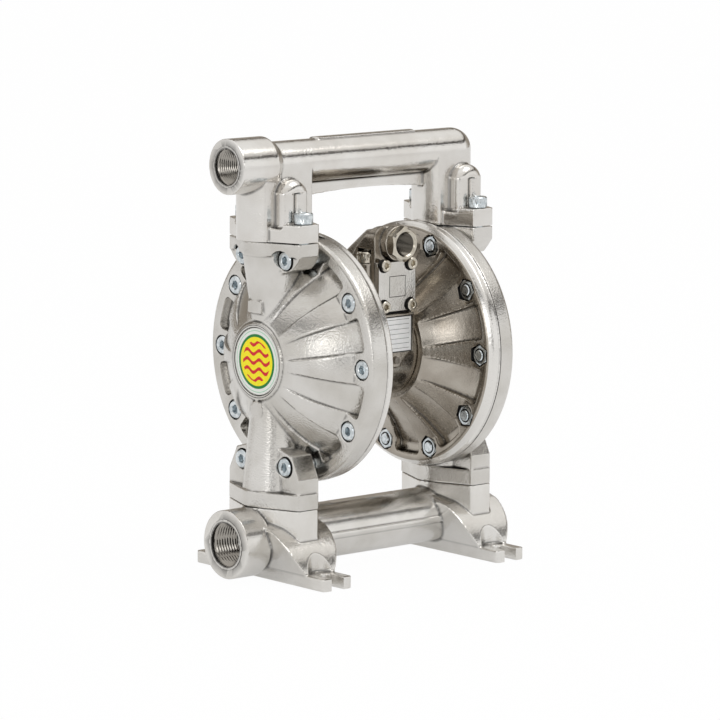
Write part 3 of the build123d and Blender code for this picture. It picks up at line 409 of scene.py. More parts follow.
# %% Turned shapes
def turned_shape(rows, columns, close=True, dark=(), black=()):
    """Rings of points around Z from (radius, height) rows; a radius may depend on the angle.

    A ring of radius 0 is one point. With close, the last ring joins the first, as in a tube.
    The bands that start at the rows numbered in dark get the second finish, those in
    black the third."""
    points, faces, marks, rings = [], [], [], []
    for radius, height in rows:
        if radius == 0:
            rings.append([len(points)] * columns)
            points.append((0, 0, height))
            continue
        ring = []
        for i in range(columns):
            angle = 2 * pi * i / columns
            r = radius(angle) if callable(radius) else radius
            z = height(angle) if callable(height) else height
            ring.append(len(points))
            points.append((r * cos(angle), r * sin(angle), z))
        rings.append(ring)
    pairs = list(zip(rings, rings[1:]))
    if close:
        pairs.append((rings[-1], rings[0]))
    for row, (low, high) in enumerate(pairs):
        for i in range(columns):
            j = (i + 1) % columns
            corners = list(dict.fromkeys((low[i], low[j], high[j], high[i])))
            if len(corners) > 2:
                faces.append(corners)
                marks.append(2 if row in black else int(row in dark))
    return points, faces, marks


# %% Places, copies and hexagons
def facing(place, direction, turn=0.0):
    """Matrix that stands a shape's Z axis along a direction at a place."""
    stand = Vector(direction).to_track_quat("Z", "Y").to_matrix().to_4x4()
    return Matrix.Translation(place) @ stand @ Matrix.Rotation(turn, 4, "Z")


def copies(shapes, places):
    """One shape with every given shape copied to its place."""
    points, faces, marks = [], [], []
    for (shape_points, shape_faces, shape_marks), place in zip(shapes, places):
        start = len(points)
        points += [place @ Vector(p) for p in shape_points]
        faces += [[start + i for i in face] for face in shape_faces]
        marks += shape_marks
    return points, faces, marks


def frozen(piece):
    """Writes a piece's modifiers into its mesh."""
    graph = bpy.context.evaluated_depsgraph_get()
    mesh = bpy.data.meshes.new_from_object(piece.evaluated_get(graph))
    piece.modifiers.clear()
    piece.data = mesh
    return piece


def hexagon_radius(across):
    """Radius of a hexagon of a width across its flats, as a function of the angle."""
    def radius(angle):
        from_flat = (angle + pi / 6) % (pi / 3) - pi / 6
        return across / 2 / cos(from_flat)
    return radius

# %% [markdown]
# ## Castings with soft edges
#
# A CAD solid has edges like a knife, and a sand casting never has. Bevelling every edge of
# such a crowded shape goes wrong where many edges meet. Instead a copy of the solid is
# rebuilt from small cells, all of one size, and then relaxed, so every edge and every
# inner corner gets the same small radius, just as moulding sand gives it.

# %% Soft casting helper
casting_cell = 0.7 * mm
relax_rounds = 2


def soft_casting(node_names, cell, added=None):
    """One block with rounded edges, cast from CAD castings and an added shape, not yet machined."""
    shells = bmesh.new()
    for node in node_names:
        shells.from_mesh(nodes[node].data)
    if added:
        shells.from_mesh(added.data)
        bpy.data.objects.remove(added)
    mesh = bpy.data.meshes.new("cast_" + node_names[0])
    shells.to_mesh(mesh)
    shells.free()
    piece = new_object("cast_" + node_names[0], mesh)
    remesh = piece.modifiers.new("cells", "REMESH")
    remesh.mode = "VOXEL"
    remesh.voxel_size = cell
    soften = piece.modifiers.new("soften", "SMOOTH")
    soften.factor = 0.5
    soften.iterations = relax_rounds
    frozen(piece)
    piece.data.materials.append(blasted)
    piece.data.materials.append(recess_shade)
    return piece

# %% [markdown]
# ## Cuts after casting
#
# What a factory machines after casting is cut after the softening too, so port faces,
# joint faces, bores and screw seats stay crisp. A cutter leaves its own finish on the
# walls it cuts, so a recess can be painted dark as shade. Cut faces are large beside the
# small cells of the cast skin, and by that they are found and get sharp edges.

# %% Cutting helpers
def crisp_cuts(mesh, cut_perimeter=6 * mm, cut_angle=8):
    """Sharp edges around the large faces that a cutter left, so they stay flat to the eye."""
    work = bmesh.new()
    work.from_mesh(mesh)
    for face in work.faces:
        if face.calc_perimeter() < cut_perimeter:
            continue
        for edge in face.edges:
            if edge.calc_face_angle(0) > radians(cut_angle):
                edge.smooth = False
    work.to_mesh(mesh)
    work.free()


def machined(piece, shapes, places):
    """Cuts shapes out of a casting. Their dark faces leave walls painted dark as shade behind."""
    cutter = piece_from("cutter", copies(shapes, places))
    cutter.data.materials.append(blasted)
    cutter.data.materials.append(recess_shade)
    cut = piece.modifiers.new("cut", "BOOLEAN")
    cut.operation = "DIFFERENCE"
    cut.solver = "MANIFOLD"
    cut.object = cutter
    frozen(piece)
    bpy.data.objects.remove(cutter)
    shade(piece.data, sharp_angle=40)
    crisp_cuts(piece.data)
    return piece


def drill(radius, low, high, columns=64, dark_height=0.0):
    """Round cutter from low to high along Z; its wall leaves painted shade up to dark_height above low.
    """
    rows = [(0, low), (radius, low)]
    if dark_height:
        rows.append((radius, low + dark_height))
    rows += [(radius, high), (0, high)]
    return turned_shape(rows, columns, close=False, dark=(0, 1) if dark_height else ())


def slab(half_width, low, high):
    """Square cutter that planes a face."""
    corner = half_width * sqrt(2)
    return turned_shape([(0, low), (corner, low), (corner, high), (0, high)], 4, close=False)


def groove(inner_r, outer_r, depth, columns, dark):
    """Cutter of a narrow groove around Z; with four columns it runs along a square."""
    rows = [(inner_r, -depth), (outer_r, -depth), (outer_r, 3 * mm), (inner_r, 3 * mm)]
    return turned_shape(rows, columns, dark=dark)

# %% [markdown]
# ## Painted shade in inner corners
#
# In an inner corner the neighbours of a point stand higher than the point itself, seen
# along its normal. The slope of the short edges around each point, averaged and blurred
# twice, says how hollow the place is. The finish reads that number from the mesh and paints shade by
# it.

# %% Hollows
shortest_edge = 0.02 * mm
longest_edge = 1.4 * mm
blur_rounds = 2


def mark_hollows(mesh, flat=0.015, deep=0.11):
    """Stores how hollow the surface is at each point, for painted shade: 0 up to flat, 1 from deep on.

    Only short edges count: the long ones lie on faces that a cutter made flat."""
    points = np.empty(3 * len(mesh.vertices))
    normals = np.empty(3 * len(mesh.vertices))
    ends = np.empty(2 * len(mesh.edges), dtype=np.int32)
    mesh.vertices.foreach_get("co", points)
    mesh.vertices.foreach_get("normal", normals)
    mesh.edges.foreach_get("vertices", ends)
    points, normals = points.reshape(-1, 3), normals.reshape(-1, 3)
    one, other = ends.reshape(-1, 2).T
    step = points[other] - points[one]
    length = np.linalg.norm(step, axis=1)
    short = (length > shortest_edge) & (length < longest_edge)
    one, other = one[short], other[short]
    step = step[short] / length[short, None]
    count = len(points)
    near = np.concatenate((one, other))
    far = np.concatenate((other, one))
    rise_from_one = (step * normals[one]).sum(axis=1)
    rise_from_other = -(step * normals[other]).sum(axis=1)
    rise = np.concatenate((rise_from_one, rise_from_other))
    edges_at = np.maximum(np.bincount(near, minlength=count), 1)
    hollow = np.bincount(near, rise, count) / edges_at
    for _ in range(blur_rounds):
        around_it = np.bincount(near, hollow[far], count) / edges_at
        hollow = (hollow + around_it) / 2
    share = np.clip((hollow - flat) / (deep - flat), 0, 1)
    mesh.attributes.new("hollow", "FLOAT", "POINT").data.foreach_set("value", share)

# %% [markdown]
# ## Where things are
#
# These are the places that the castings, screws and nuts share. They repeat the CAD
# model's own values, in metres.

# %% Places
leg_x = 81.2 * mm
lower_joint_z = 51.2 * mm
upper_joint_z = 237.9 * mm
split_x = 53.0 * mm
screw_circle = 76.0 * mm
joint_screw_y = 32.0 * mm
rim_face_x = 66.0 * mm
neck_screw_face_x = 91.5 * mm
air_face_x = 43.5 * mm
head_r = 6.5 * mm
head_height = 8.0 * mm
head_recess_r = 7.25 * mm
joint_gap = 0.5 * mm
sides = ((-1, "left"), (1, "right"))
screw_count = 10
screw_angles = [2 * pi * i / screw_count for i in range(screw_count)]


def on_circle(x, angle):
    """Place on the circle of cover screws."""
    return Vector((x, screw_circle * cos(angle), rod_z + screw_circle * sin(angle)))


def in_neck(angle):
    """True for the four cover screws that go through the necks."""
    return abs(sin(angle)) > sin(radians(60))


print("cover screws in the necks:", sum(in_neck(a) for a in screw_angles))

# %% [markdown]
# ## The four round covers
#
# The outer covers are ribbed domes, the inner ones ribbed dishes with a hexagonal pocket
# for each nut. Each pair is cast here as one block and then sawn apart at the split, so
# the joint keeps two crisp edges and a gap of half a millimetre, the thin dark line
# around the rim. A narrow ring brings the inner cover's rim flush with the outer one's.
# Then the screw seats, the nut pockets and the rings around the badge are cut.

# %% Screw seats
recess_floor = -head_height + 0.2 * mm
# Painted shade: a screw recess's wall is dark from its floor to a little below the face.
recess_dark_height = head_height - 1 * mm
cut_above = 4 * mm
cut_above_in_neck = 40 * mm


def screw_seats(side):
    """Cutters and places of the ten screw recesses in an outer cover."""
    shapes, places = [], []
    for angle in screw_angles:
        face_x = neck_screw_face_x if in_neck(angle) else rim_face_x
        top = cut_above_in_neck if in_neck(angle) else cut_above
        shapes.append(drill(head_recess_r, recess_floor, top, dark_height=recess_dark_height))
        places.append(facing(on_circle(side * face_x, angle), (side, 0, 0)))
    return shapes, places


# %% Nut pockets
nut_pocket_across = 14.8 * mm
nut_pocket_depth = 6.4 * mm


def nut_pockets(side):
    """Cutters and places of the ten hexagonal pockets in an inner cover."""
    hexagon = hexagon_radius(nut_pocket_across)
    rows = [(0, -nut_pocket_depth), (hexagon, -nut_pocket_depth), (hexagon, cut_above), (0, cut_above)]
    # Painted shade: the pocket's floor and walls take the near-black finish.
    pocket = turned_shape(rows, 72, close=False, dark=(0, 1))
    places = [facing(on_circle(side * air_face_x, a), (-side, 0, 0), a) for a in screw_angles]
    return [pocket] * len(places), places


# %% Rim ring and badge grooves
rim_inner_r = 82.0 * mm
rim_outer_r = 87.8 * mm
rim_bevel = 2 * mm
rim_width = split_x - 45.5 * mm
rim = [(rim_inner_r, 0), (rim_outer_r, 0), (rim_outer_r, rim_width - rim_bevel),
       (rim_outer_r - rim_bevel, rim_width), (rim_inner_r, rim_width)]
badge_ring_x = 97.1 * mm
groove_width = 0.45 * mm
groove_depth = 0.7 * mm
groove_radii = (25.2 * mm, 23.7 * mm)
print("rim ring in mm:", round(rim_width / mm, 1), "wide")

# %% Cover pairs
block_reach = 130 * mm
planed_beyond = 6 * mm
for side, name in sides:
    fluid_node, air_node = name + "_fluid_cover", name + "_air_cover"
    place = facing((side * split_x, 0, rod_z), (-side, 0, 0))
    flush_rim = piece_from("rim", copies([turned_shape(rim, 192)], [place]))
    block = soft_casting([fluid_node, air_node], casting_cell, flush_rim)
    air = new_object("cast_" + air_node, block.data.copy())

    middle = Vector((side * split_x, 0, rod_z))
    gap_step = Vector((side * joint_gap / 2, 0, 0))
    machined(block, [slab(block_reach, 0, 45 * mm)], [facing(middle + gap_step, (-side, 0, 0))])
    machined(air, [slab(block_reach, 0, 60 * mm)], [facing(middle - gap_step, (side, 0, 0))])

    shapes, places = screw_seats(side)
    for joint_z, up in ((lower_joint_z, 1), (upper_joint_z, -1)):
        shapes.append(slab(60 * mm, -planed_beyond, joint_gap))
        places.append(facing((side * leg_x, 0, joint_z), (0, 0, up)))
    if side < 0:
        # Painted shade: the floor of each groove around the badge takes the near-black finish.
        shapes += [groove(r, r + groove_width, groove_depth, 128, dark=(0,)) for r in groove_radii]
        places += [facing((-badge_ring_x, 0, rod_z), (-1, 0, 0))] * len(groove_radii)
    machined(block, shapes, places)
    machined(air, *nut_pockets(side))
    mark_hollows(block.data)
    mark_hollows(air.data)
    finish_piece(block, [blasted, recess_shade], stands_for=[fluid_node])
    finish_piece(air, [dish_casting, recess_shade], stands_for=[air_node])
    print(name, "covers:", len(block.data.polygons), "and", len(air.data.polygons), "faces")

# %% [markdown]
# ## Manifolds
#
# Top and bottom manifold carry fluid between the pipe ports and the ball valves. Their
# port bosses are turned: the face is planed, the bore is opened to the thread's outer
# diameter, and a separate sleeve with the real thread goes into it in the next step.
#
# On the outlet, the tube is cast right up into the port boss. A short length of tube is
# added for that before the block is softened, because the solid stops short of the boss.

# %% Ports
outlet_port_x = -123.8 * mm
inlet_port_x = -124.5 * mm
outlet_thread = {"minor": 12.06 * mm, "major": 13.22 * mm, "pitch": 1.814 * mm, "depth": 21.0 * mm}
inlet_thread = {"minor": 15.15 * mm, "major": 16.62 * mm, "pitch": 2.309 * mm, "depth": 23.0 * mm}
sleeve_wall = 1.3 * mm
face_cut = 0.3 * mm


def port_cuts(thread):
    """Cutters of a threaded port, along Z out of its mouth at the face."""
    bore_r = thread["major"] + sleeve_wall
    return [drill(bore_r, -thread["depth"], 5 * mm, 128), slab(40 * mm, -face_cut, 6 * mm)]


# %% Outlet manifold
tube_start_x = -96.0 * mm
tube_r = 15.15 * mm
tube_bore_r = 10.5 * mm
tube_length = 17.0 * mm
tube_wall = [(tube_bore_r, 0), (tube_r, 0), (tube_r, -tube_length), (tube_bore_r, -tube_length)]
place = facing((tube_start_x, 0, outlet_z), (-1, 0, 0))
neck = piece_from("neck", copies([turned_shape(tube_wall, 96)], [place]))
outlet = soft_casting(["outlet_manifold"], casting_cell, neck)
shapes = port_cuts(outlet_thread)
places = [facing((outlet_port_x, 0, outlet_z), (-1, 0, 0))] * 2
for x in (-leg_x, leg_x):
    shapes.append(slab(45 * mm, -planed_beyond, joint_gap))
    places.append(facing((x, 0, upper_joint_z), (0, 0, 1)))
machined(outlet, shapes, places)
mark_hollows(outlet.data)
finish_piece(outlet, [polished, recess_shade], stands_for=["outlet_manifold"])
print("outlet manifold:", len(outlet.data.polygons), "faces")

# %% Inlet manifold
inlet = soft_casting(["inlet_manifold"], casting_cell)
machined(inlet, port_cuts(inlet_thread), [facing((inlet_port_x, 0, inlet_z), (-1, 0, 0))] * 2)
mark_hollows(inlet.data)
finish_piece(inlet, [foot_casting, recess_shade], stands_for=["inlet_manifold"])
print("inlet manifold:", len(inlet.data.polygons), "faces")

# %% [markdown]
# ## Pipe threads
#
# A thread is one groove wound around the bore. The sleeve's inner wall is a grid of
# points: going along it the radius rises and falls between the thread's two diameters,
# and going around it the pattern shifts by one pitch per turn, so the ridges climb as a
# true screw thread. A small cone opens the mouth.

# %% Thread rows
def thread_rows(thread, start, per_pitch=8):
    """Rows of a threaded wall, from a cone at the depth start to the thread's end."""
    minor, major, pitch, depth = thread["minor"], thread["major"], thread["pitch"], thread["depth"]
    cone = 1.2 * mm
    first = start + 0.3 * cone
    count = int((depth - first) / pitch * per_pitch)
    rows = []
    for i in range(count + 1):
        z = -first - (depth - first) * i / count

        def radius(angle, z=z):
            turn = (z / pitch + angle / (2 * pi)) % 1
            thread_r = minor + (major - minor) * abs(2 * turn - 1)
            cone_r = major + (z + start) * (major - minor) / cone
            return max(thread_r, cone_r)
        rows.append((radius, z))
    return rows


# %% Threaded sleeves
def thread_sleeve(thread, mouth_r, columns=96):
    """Closed sleeve along -Z from its mouth at z = 0, with a step before the thread painted dark as
    shade.
    """
    outer = thread["major"] + sleeve_wall
    step = 2.4 * mm
    bevel = 0.3 * mm
    rows = [(outer, -thread["depth"]), (outer, 0), (mouth_r + bevel, 0), (mouth_r, -bevel),
            (mouth_r, -step)]
    rows += thread_rows(thread, step)
    rows.append((thread["minor"], -thread["depth"]))
    # Painted shade: the step wall in the mouth takes the near-black finish.
    return turned_shape(rows, columns, dark=range(5, len(rows)), black=[3])


def fit_sleeve(name, thread, mouth_r, x, z, finishes):
    """Sleeve of a port with its mouth at a place."""
    place = facing((x + face_cut, 0, z), (-1, 0, 0))
    sleeve = piece_from(name, copies([thread_sleeve(thread, mouth_r)], [place]), sharp_angle=25)
    finish_piece(sleeve, finishes)
    print(name, len(sleeve.data.polygons), "faces")


fit_sleeve("outlet_thread", outlet_thread, 14.0 * mm, outlet_port_x, outlet_z,
           [machined_outlet, threaded_outlet, recess_shade])
fit_sleeve("inlet_thread", inlet_thread, 17.5 * mm, inlet_port_x, inlet_z,
           [machined_inlet, threaded_inlet, recess_shade])

# %% [markdown]
# ## Middle castings
#
# The centre body, the air valve on it and the valve's front cover are smaller castings,
# so the two outer ones are rebuilt with finer cells. The front cover has a square line cut
# into it as its only ornament.

# %% Middle castings
square_half = 7.0 * mm
line_width = 0.5 * mm
line_depth = 0.4 * mm
line_inner_r = square_half * sqrt(2)
line_outer_r = (square_half + line_width) * sqrt(2)
# Painted shade: the centre body and the valve body take the darker finish of the castings between the
# covers.
for node, cell, finish in (("centre_body", casting_cell, inner_shaded_casting),
                           ("valve_body", 0.6 * mm, inner_shaded_casting),
                           ("valve_cover", 0.35 * mm, blasted)):
    casting = soft_casting([node], cell)
    if node == "valve_cover":
        low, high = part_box(node)
        place = facing(((low.x + high.x) / 2, low.y, (low.z + high.z) / 2), (0, -1, 0), pi / 4)
        # Painted shade: the walls and floor of the square line take the near-black finish.
        line = groove(line_inner_r, line_outer_r, line_depth, 4, dark=(0, 1, 2, 3))
        machined(casting, [line], [place])
    shade(casting.data, sharp_angle=50)
    crisp_cuts(casting.data)
    mark_hollows(casting.data)
    finish_piece(casting, [finish, recess_shade], stands_for=[node])
    print(node, len(casting.data.polygons), "faces")

# %% [markdown]
# ## Socket head screws
#
# The heads are turned with a knurled side, a small bevel on top and a hexagonal socket.
# One ring of points every five degrees draws both the knurl, by moving every second
# column inward, and the hexagon, by letting the radius follow its flats.

# %% Socket screw
def socket_screw(radius, height, across, shank_r, length, sunk=True, columns=72):
    """Screw along Z, the underside of its head at z = 0; a sunk head's side is painted dark as shade.
    """
    knurl_depth = 0.035 * radius
    bevel = 0.12 * radius
    tip_bevel = 0.6 * mm
    socket = hexagon_radius(across)
    socket_mouth = 0.62 * across
    socket_edge = height - 0.08 * across
    socket_floor = 0.45 * height
    drill_point = 0.36 * height

    def knurled(angle):
        return radius - knurl_depth * (round(angle / (2 * pi) * columns) % 2)

    rows = [(0, -length), (shank_r - tip_bevel, -length), (shank_r, -length + tip_bevel), (shank_r, 0),
            (radius - bevel, 0), (radius, 0.6 * bevel), (knurled, bevel), (knurled, height - 2 * bevel),
            (radius, height - 1.8 * bevel), (radius, height - bevel), (radius - bevel, height),
            (socket_mouth, height), (socket, socket_edge), (socket, socket_floor), (0, drill_point)]
    # Painted shade: a sunk head's knurled side takes the near-black finish.
    side_rows = (5, 6, 7, 8) if sunk else ()
    return turned_shape(rows, columns, close=False, dark=side_rows)


def screw_set(node, places, screws, finish=zinc):
    """One piece with all the screws of a CAD node."""
    piece = piece_from("made_" + node, copies(screws, places), sharp_angle=32)
    finish_piece(piece, [finish, recess_shade], stands_for=[node])
    print(node, len(piece.data.polygons), "faces")


# %% Cover screws
screw_end_x = 42.6 * mm
socket_across = 5.6 * mm
shank_r = 4 * mm
turn_each = 0.7
for side, name in sides:
    screws, places = [], []
    for i, angle in enumerate(screw_angles):
        face_x = neck_screw_face_x if in_neck(angle) else rim_face_x + 0.2 * mm
        seat_x = face_x - head_height
        screws.append(socket_screw(head_r, head_height, socket_across, shank_r, seat_x - screw_end_x))
        places.append(facing(on_circle(side * seat_x, angle), (side, 0, 0), turn_each * i))
    screw_set(name + "_cover_screws", places, screws)

# %% Manifold screws
ear_top_z = upper_joint_z + 13.0 * mm
joint_screw = socket_screw(head_r, head_height, socket_across, shank_r, 20 * mm, sunk=False)
corners = [(x, y) for x in (-leg_x, leg_x) for y in (-joint_screw_y, joint_screw_y)]
head_turn = {-leg_x: -1.224, leg_x: 2.024}
places = [facing((x, y, ear_top_z), (0, 0, 1), head_turn[x]) for x, y in corners]
screw_set("outlet_manifold_screws", places, [joint_screw] * 4)

foot_seat_z = 26.0 * mm
foot_screw_length = lower_joint_z + 11 * mm - foot_seat_z
foot_screw = socket_screw(head_r, head_height, socket_across, shank_r, foot_screw_length)
places = [facing((x, y, foot_seat_z), (0, 0, -1)) for x, y in corners]
screw_set("inlet_manifold_screws", places, [foot_screw] * 4)

# %% Screws of the air valve
clamp_x = 15.0 * mm
clamp_y = -21.7 * mm
clamp_z = 218.0 * mm
clamp_screw = socket_screw(head_r, head_height, socket_across, shank_r, 50 * mm, sunk=False)
places = [facing((x, clamp_y, clamp_z), (0, 0, 1)) for x in (-clamp_x, clamp_x)]
screw_set("valve_clamp_screws", places, [clamp_screw] * 2, brass)

valve_screw = socket_screw(4.25 * mm, 5.0 * mm, 4.0 * mm, 2.5 * mm, 7.3 * mm)
valve_seat_y = -35.8 * mm
valve_cover_z = 202.55 * mm
valve_screw_x = 12.3 * mm
valve_screw_rise = 14.65 * mm
places = [facing((x, valve_seat_y, valve_cover_z + rise), (0, -1, 0))
          for x in (-valve_screw_x, valve_screw_x) for rise in (-valve_screw_rise, valve_screw_rise)]
screw_set("valve_cover_screws", places, [valve_screw] * 4, brass)

# %% [markdown]
# ## Nuts
#
# A nut's outer face is turned to a cone, so its six corners dip and a bright round land
# is left. The hole is countersunk, and the end of the screw shows in it as a small disc
# with a ring of painted shade around it; the nut's sides are painted dark as shade too.

# %% Nuts
def nut_shape(across, height, hole_r, columns=72):
    """Nut along Z with its outer face at z = 0."""
    hexagon = hexagon_radius(across)
    land_r = 0.97 * across / 2
    slope = tan(radians(28))
    sink_width = 0.8 * mm
    sink_depth = 1.4 * mm

    def shoulder(angle):
        return -max(0.0, hexagon(angle) - land_r) * slope

    rows = [(hole_r, -height), (hexagon, -height), (hexagon, shoulder), (land_r, 0),
            (hole_r + sink_width, 0), (hole_r, -sink_depth)]
    # Painted shade: the six sides, the countersink and the hole's wall take the near-black finish.
    return turned_shape(rows, columns, dark=(1, 4, 5))


nut = nut_shape(13.0 * mm, 6.5 * mm, 4.1 * mm)
for side, name in sides:
    node = name + "_cover_nuts"
    face_x = side * (air_face_x + 0.1 * mm)
    places = [facing(on_circle(face_x, a), (-side, 0, 0), a) for a in screw_angles]
    nuts = piece_from("made_" + node, copies([nut] * screw_count, places), sharp_angle=32)
    finish_piece(nuts, [zinc, recess_shade], stands_for=[node])
print("nuts:", len(nuts.data.polygons), "faces a side")

# %% [markdown]
# ## The air inlet's bush
#
# A hexagon bush screws into the valve and carries the air line's thread. It is turned from
# bar, so its front edge is a cone that cuts the six corners, and its bore is threaded in
# the same way as the ports.

# %% Air inlet bush
air_thread = {"minor": 7.475 * mm, "major": 8.33 * mm, "pitch": 1.337 * mm, "depth": 17.8 * mm}
bush_face_y = -46.3 * mm
bush_hexagon = hexagon_radius(22.0 * mm)
bush_land = 10.6 * mm
bush_height = 6.8 * mm
bush_neck_r = 10.1 * mm
bush_mouth_r = 8.9 * mm
bush_mouth_bevel = 0.5 * mm


def corner_dip(angle):
    """How far the cone has cut the hexagon back at an angle."""
    return max(0.0, bush_hexagon(angle) - bush_land) * tan(radians(32))


def bush_shoulder(angle):
    return -corner_dip(angle)


def bush_back(angle):
    return corner_dip(angle) - bush_height


rows = [(bush_neck_r, -air_thread["depth"]), (bush_neck_r, -bush_height), (bush_land, -bush_height),
        (bush_hexagon, bush_back), (bush_hexagon, bush_shoulder), (bush_land, 0), (bush_mouth_r, 0),
        (8.5 * mm, -bush_mouth_bevel)]
outer_rows = len(rows)
rows += thread_rows(air_thread, bush_mouth_bevel)
# Painted shade: the bush's threaded bore takes the nearly black thread finish.
bush_shape = turned_shape(rows, 72, dark=range(outer_rows, len(rows)))
place = facing((0, bush_face_y, air_inlet_z), (0, -1, 0))
bush = piece_from("air_inlet_bush", copies([bush_shape], [place]), sharp_angle=30)
finish_piece(bush, [brass, threaded_air], stands_for=["air_inlet_fitting"])
print("bush:", len(bush.data.polygons), "faces")

# %% [markdown]
# ## Badge and label plate
#
# The badge is a domed disc of plastic with a print under a clear gloss. The print here is
# a plain one: a white ground with a thin green ring, and a yellow field with a green edge
# and red waves. It is drawn by sums on the surface's own place: the distance from the
# middle gives the rings, and a sine gives the waves. The label plate stays bare but for a
# dark frame and fine ruled lines.

# %% Badge
badge_print, tree, shader = blank_material("badge_print")
place = parts_of(tree, position_in(tree))
across = place["Y"]
height = calculate(tree, "SUBTRACT", place["Z"], rod_z)
distance = distance_from_axis(tree, (0, 0, rod_z), (0, 1, 1))
badge_white = (0.84, 0.85, 0.82)
badge_green = (0.0, 0.20, 0.03)
badge_pale_green = (0.30, 0.62, 0.42)
badge_yellow = (0.98, 0.86, 0.0)
badge_red = (0.68, 0.005, 0.012)


def within(low, high):
    """1 where the distance from the badge's middle lies between two radii."""
    return calculate(tree, "MULTIPLY", calculate(tree, "GREATER_THAN", distance, low),
                     calculate(tree, "LESS_THAN", distance, high))


# %% Waves and colours of the badge
wave_length = 13 * mm
wave_height = 1.5 * mm
wave_pitch = 6.4 * mm
wave_half = 1.25 * mm
sine = calculate(tree, "SINE", calculate(tree, "MULTIPLY", across, 2 * pi / wave_length))
wavy = calculate(tree, "ADD", height, calculate(tree, "MULTIPLY", sine, wave_height))
above = calculate(tree, "MODULO", calculate(tree, "ADD", wavy, 8.5 * wave_pitch), wave_pitch)
from_wave = calculate(tree, "ABSOLUTE", calculate(tree, "SUBTRACT", above, wave_pitch / 2))
near_wave = calculate(tree, "LESS_THAN", from_wave, wave_half)
on_wave = calculate(tree, "MULTIPLY", near_wave, within(0, 14.5 * mm))
colour = mixed(tree, within(21.3 * mm, 21.8 * mm), badge_white, badge_pale_green)
colour = mixed(tree, within(0, 19.2 * mm), colour, badge_green)
colour = mixed(tree, within(0, 17.2 * mm), colour, badge_yellow)
colour = mixed(tree, on_wave, colour, badge_red)
tree.links.new(colour, shader.inputs["Base Color"])
dust = noise(tree, 4 * mm, 3)
tree.links.new(spread(tree, dust, 0.20, 0.32), shader.inputs["Roughness"])
tree.links.new(bump(tree, dust, 0.01 * mm), shader.inputs["Normal"])
shader.inputs["Coat Weight"].default_value = 0.15
shader.inputs["Specular IOR Level"].default_value = 0.3
shader.inputs["Coat Roughness"].default_value = 0.08
print("badge print made")

# %% Label plate
label_metal, tree, shader = blank_material("label_metal")
place = parts_of(tree, position_in(tree))
low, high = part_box("label_plate")
frame_width = 0.8 * mm
line_pitch = 3.4 * mm
line_height = 0.35 * mm
line_half = 11.5 * mm
side_way = calculate(tree, "ABSOLUTE", place["X"])
up_way = calculate(tree, "SUBTRACT", place["Z"], (low.z + high.z) / 2)
at_side = calculate(tree, "GREATER_THAN", side_way, high.x - frame_width)
end_way = calculate(tree, "ABSOLUTE", up_way)
at_end = calculate(tree, "GREATER_THAN", end_way, (high.z - low.z) / 2 - frame_width)
framed = calculate(tree, "MAXIMUM", at_side, at_end)
above_line = calculate(tree, "MODULO", calculate(tree, "ADD", up_way, 50 * line_pitch), line_pitch)
lined = calculate(tree, "LESS_THAN", above_line, line_height)
ruled = calculate(tree, "MULTIPLY", lined, calculate(tree, "LESS_THAN", side_way, line_half))
brushed = ramp(tree, noise(tree, 3 * mm, 4), [(0.3, (0.84, 0.85, 0.86)), (0.7, (0.93, 0.93, 0.93))])
colour = mixed(tree, ruled, brushed, (0.22, 0.22, 0.22))
colour = mixed(tree, framed, colour, (0.03, 0.03, 0.03))
tree.links.new(colour, shader.inputs["Base Color"])
tree.links.new(spread(tree, noise(tree, 1 * mm, 2), 0.30, 0.42), shader.inputs["Roughness"])
tree.links.new(bump(tree, noise(tree, 0.5 * mm, 2), 0.01 * mm), shader.inputs["Normal"])
shader.inputs["Metallic"].default_value = 0.5
print("label plate made")

# %% [markdown]
# ## Finishes of the CAD pieces that stay
#
# The rod, diaphragms, plates, balls and seals are closed in, and the trim is already the
# right shape. New meshes would show nothing more, so these nodes only get a finish.

# %% Finishes of the kept nodes
def both_sides(*names):
    """Left and right node of each name."""
    return [side + name for name in names for side in ("left_", "right_")]


kept = {
    steel: ["diaphragm_rod"] + both_sides("outer_plate", "inlet_seat", "outlet_seat"),
    aluminium: ["spool_sleeve", "spool_plug", "valve_spool"] + both_sides("inner_plate"),
    rubber: ["valve_base_gasket", "valve_cover_gasket"]
            + both_sides("diaphragm", "rod_seal", "inlet_seal", "outlet_seal"),
    bearing: both_sides("rod_bushing"),
    ball_white: both_sides("inlet_ball", "outlet_ball"),
    zinc: both_sides("hub_screws", "plate_screw"),
    dull: ["tab_screw"],
    badge_print: ["left_badge"],
    label_metal: ["label_plate"],
}
for material, names in kept.items():
    for name in names:
        nodes[name].data.materials.clear()
        nodes[name].data.materials.append(material)
print("kept nodes:", sum(len(names) for names in kept.values()))

# %% [markdown]
# ## White studio
#
# The pump stands on a wide white floor that also fills the background. The camera sees
# the floor as its own white light with a trace of shadow left in it, and mirrors see it as
# a dimmer grey, as paper is.
#
# Metal shows what is around it, so the studio matters as much as the finish. The sky dome
# is bright, with a dark band about a third of the way up, which draws the dark line along
# the tubes. The side behind the pump is dim, and a narrow dark strip stands where the
# photographer does.

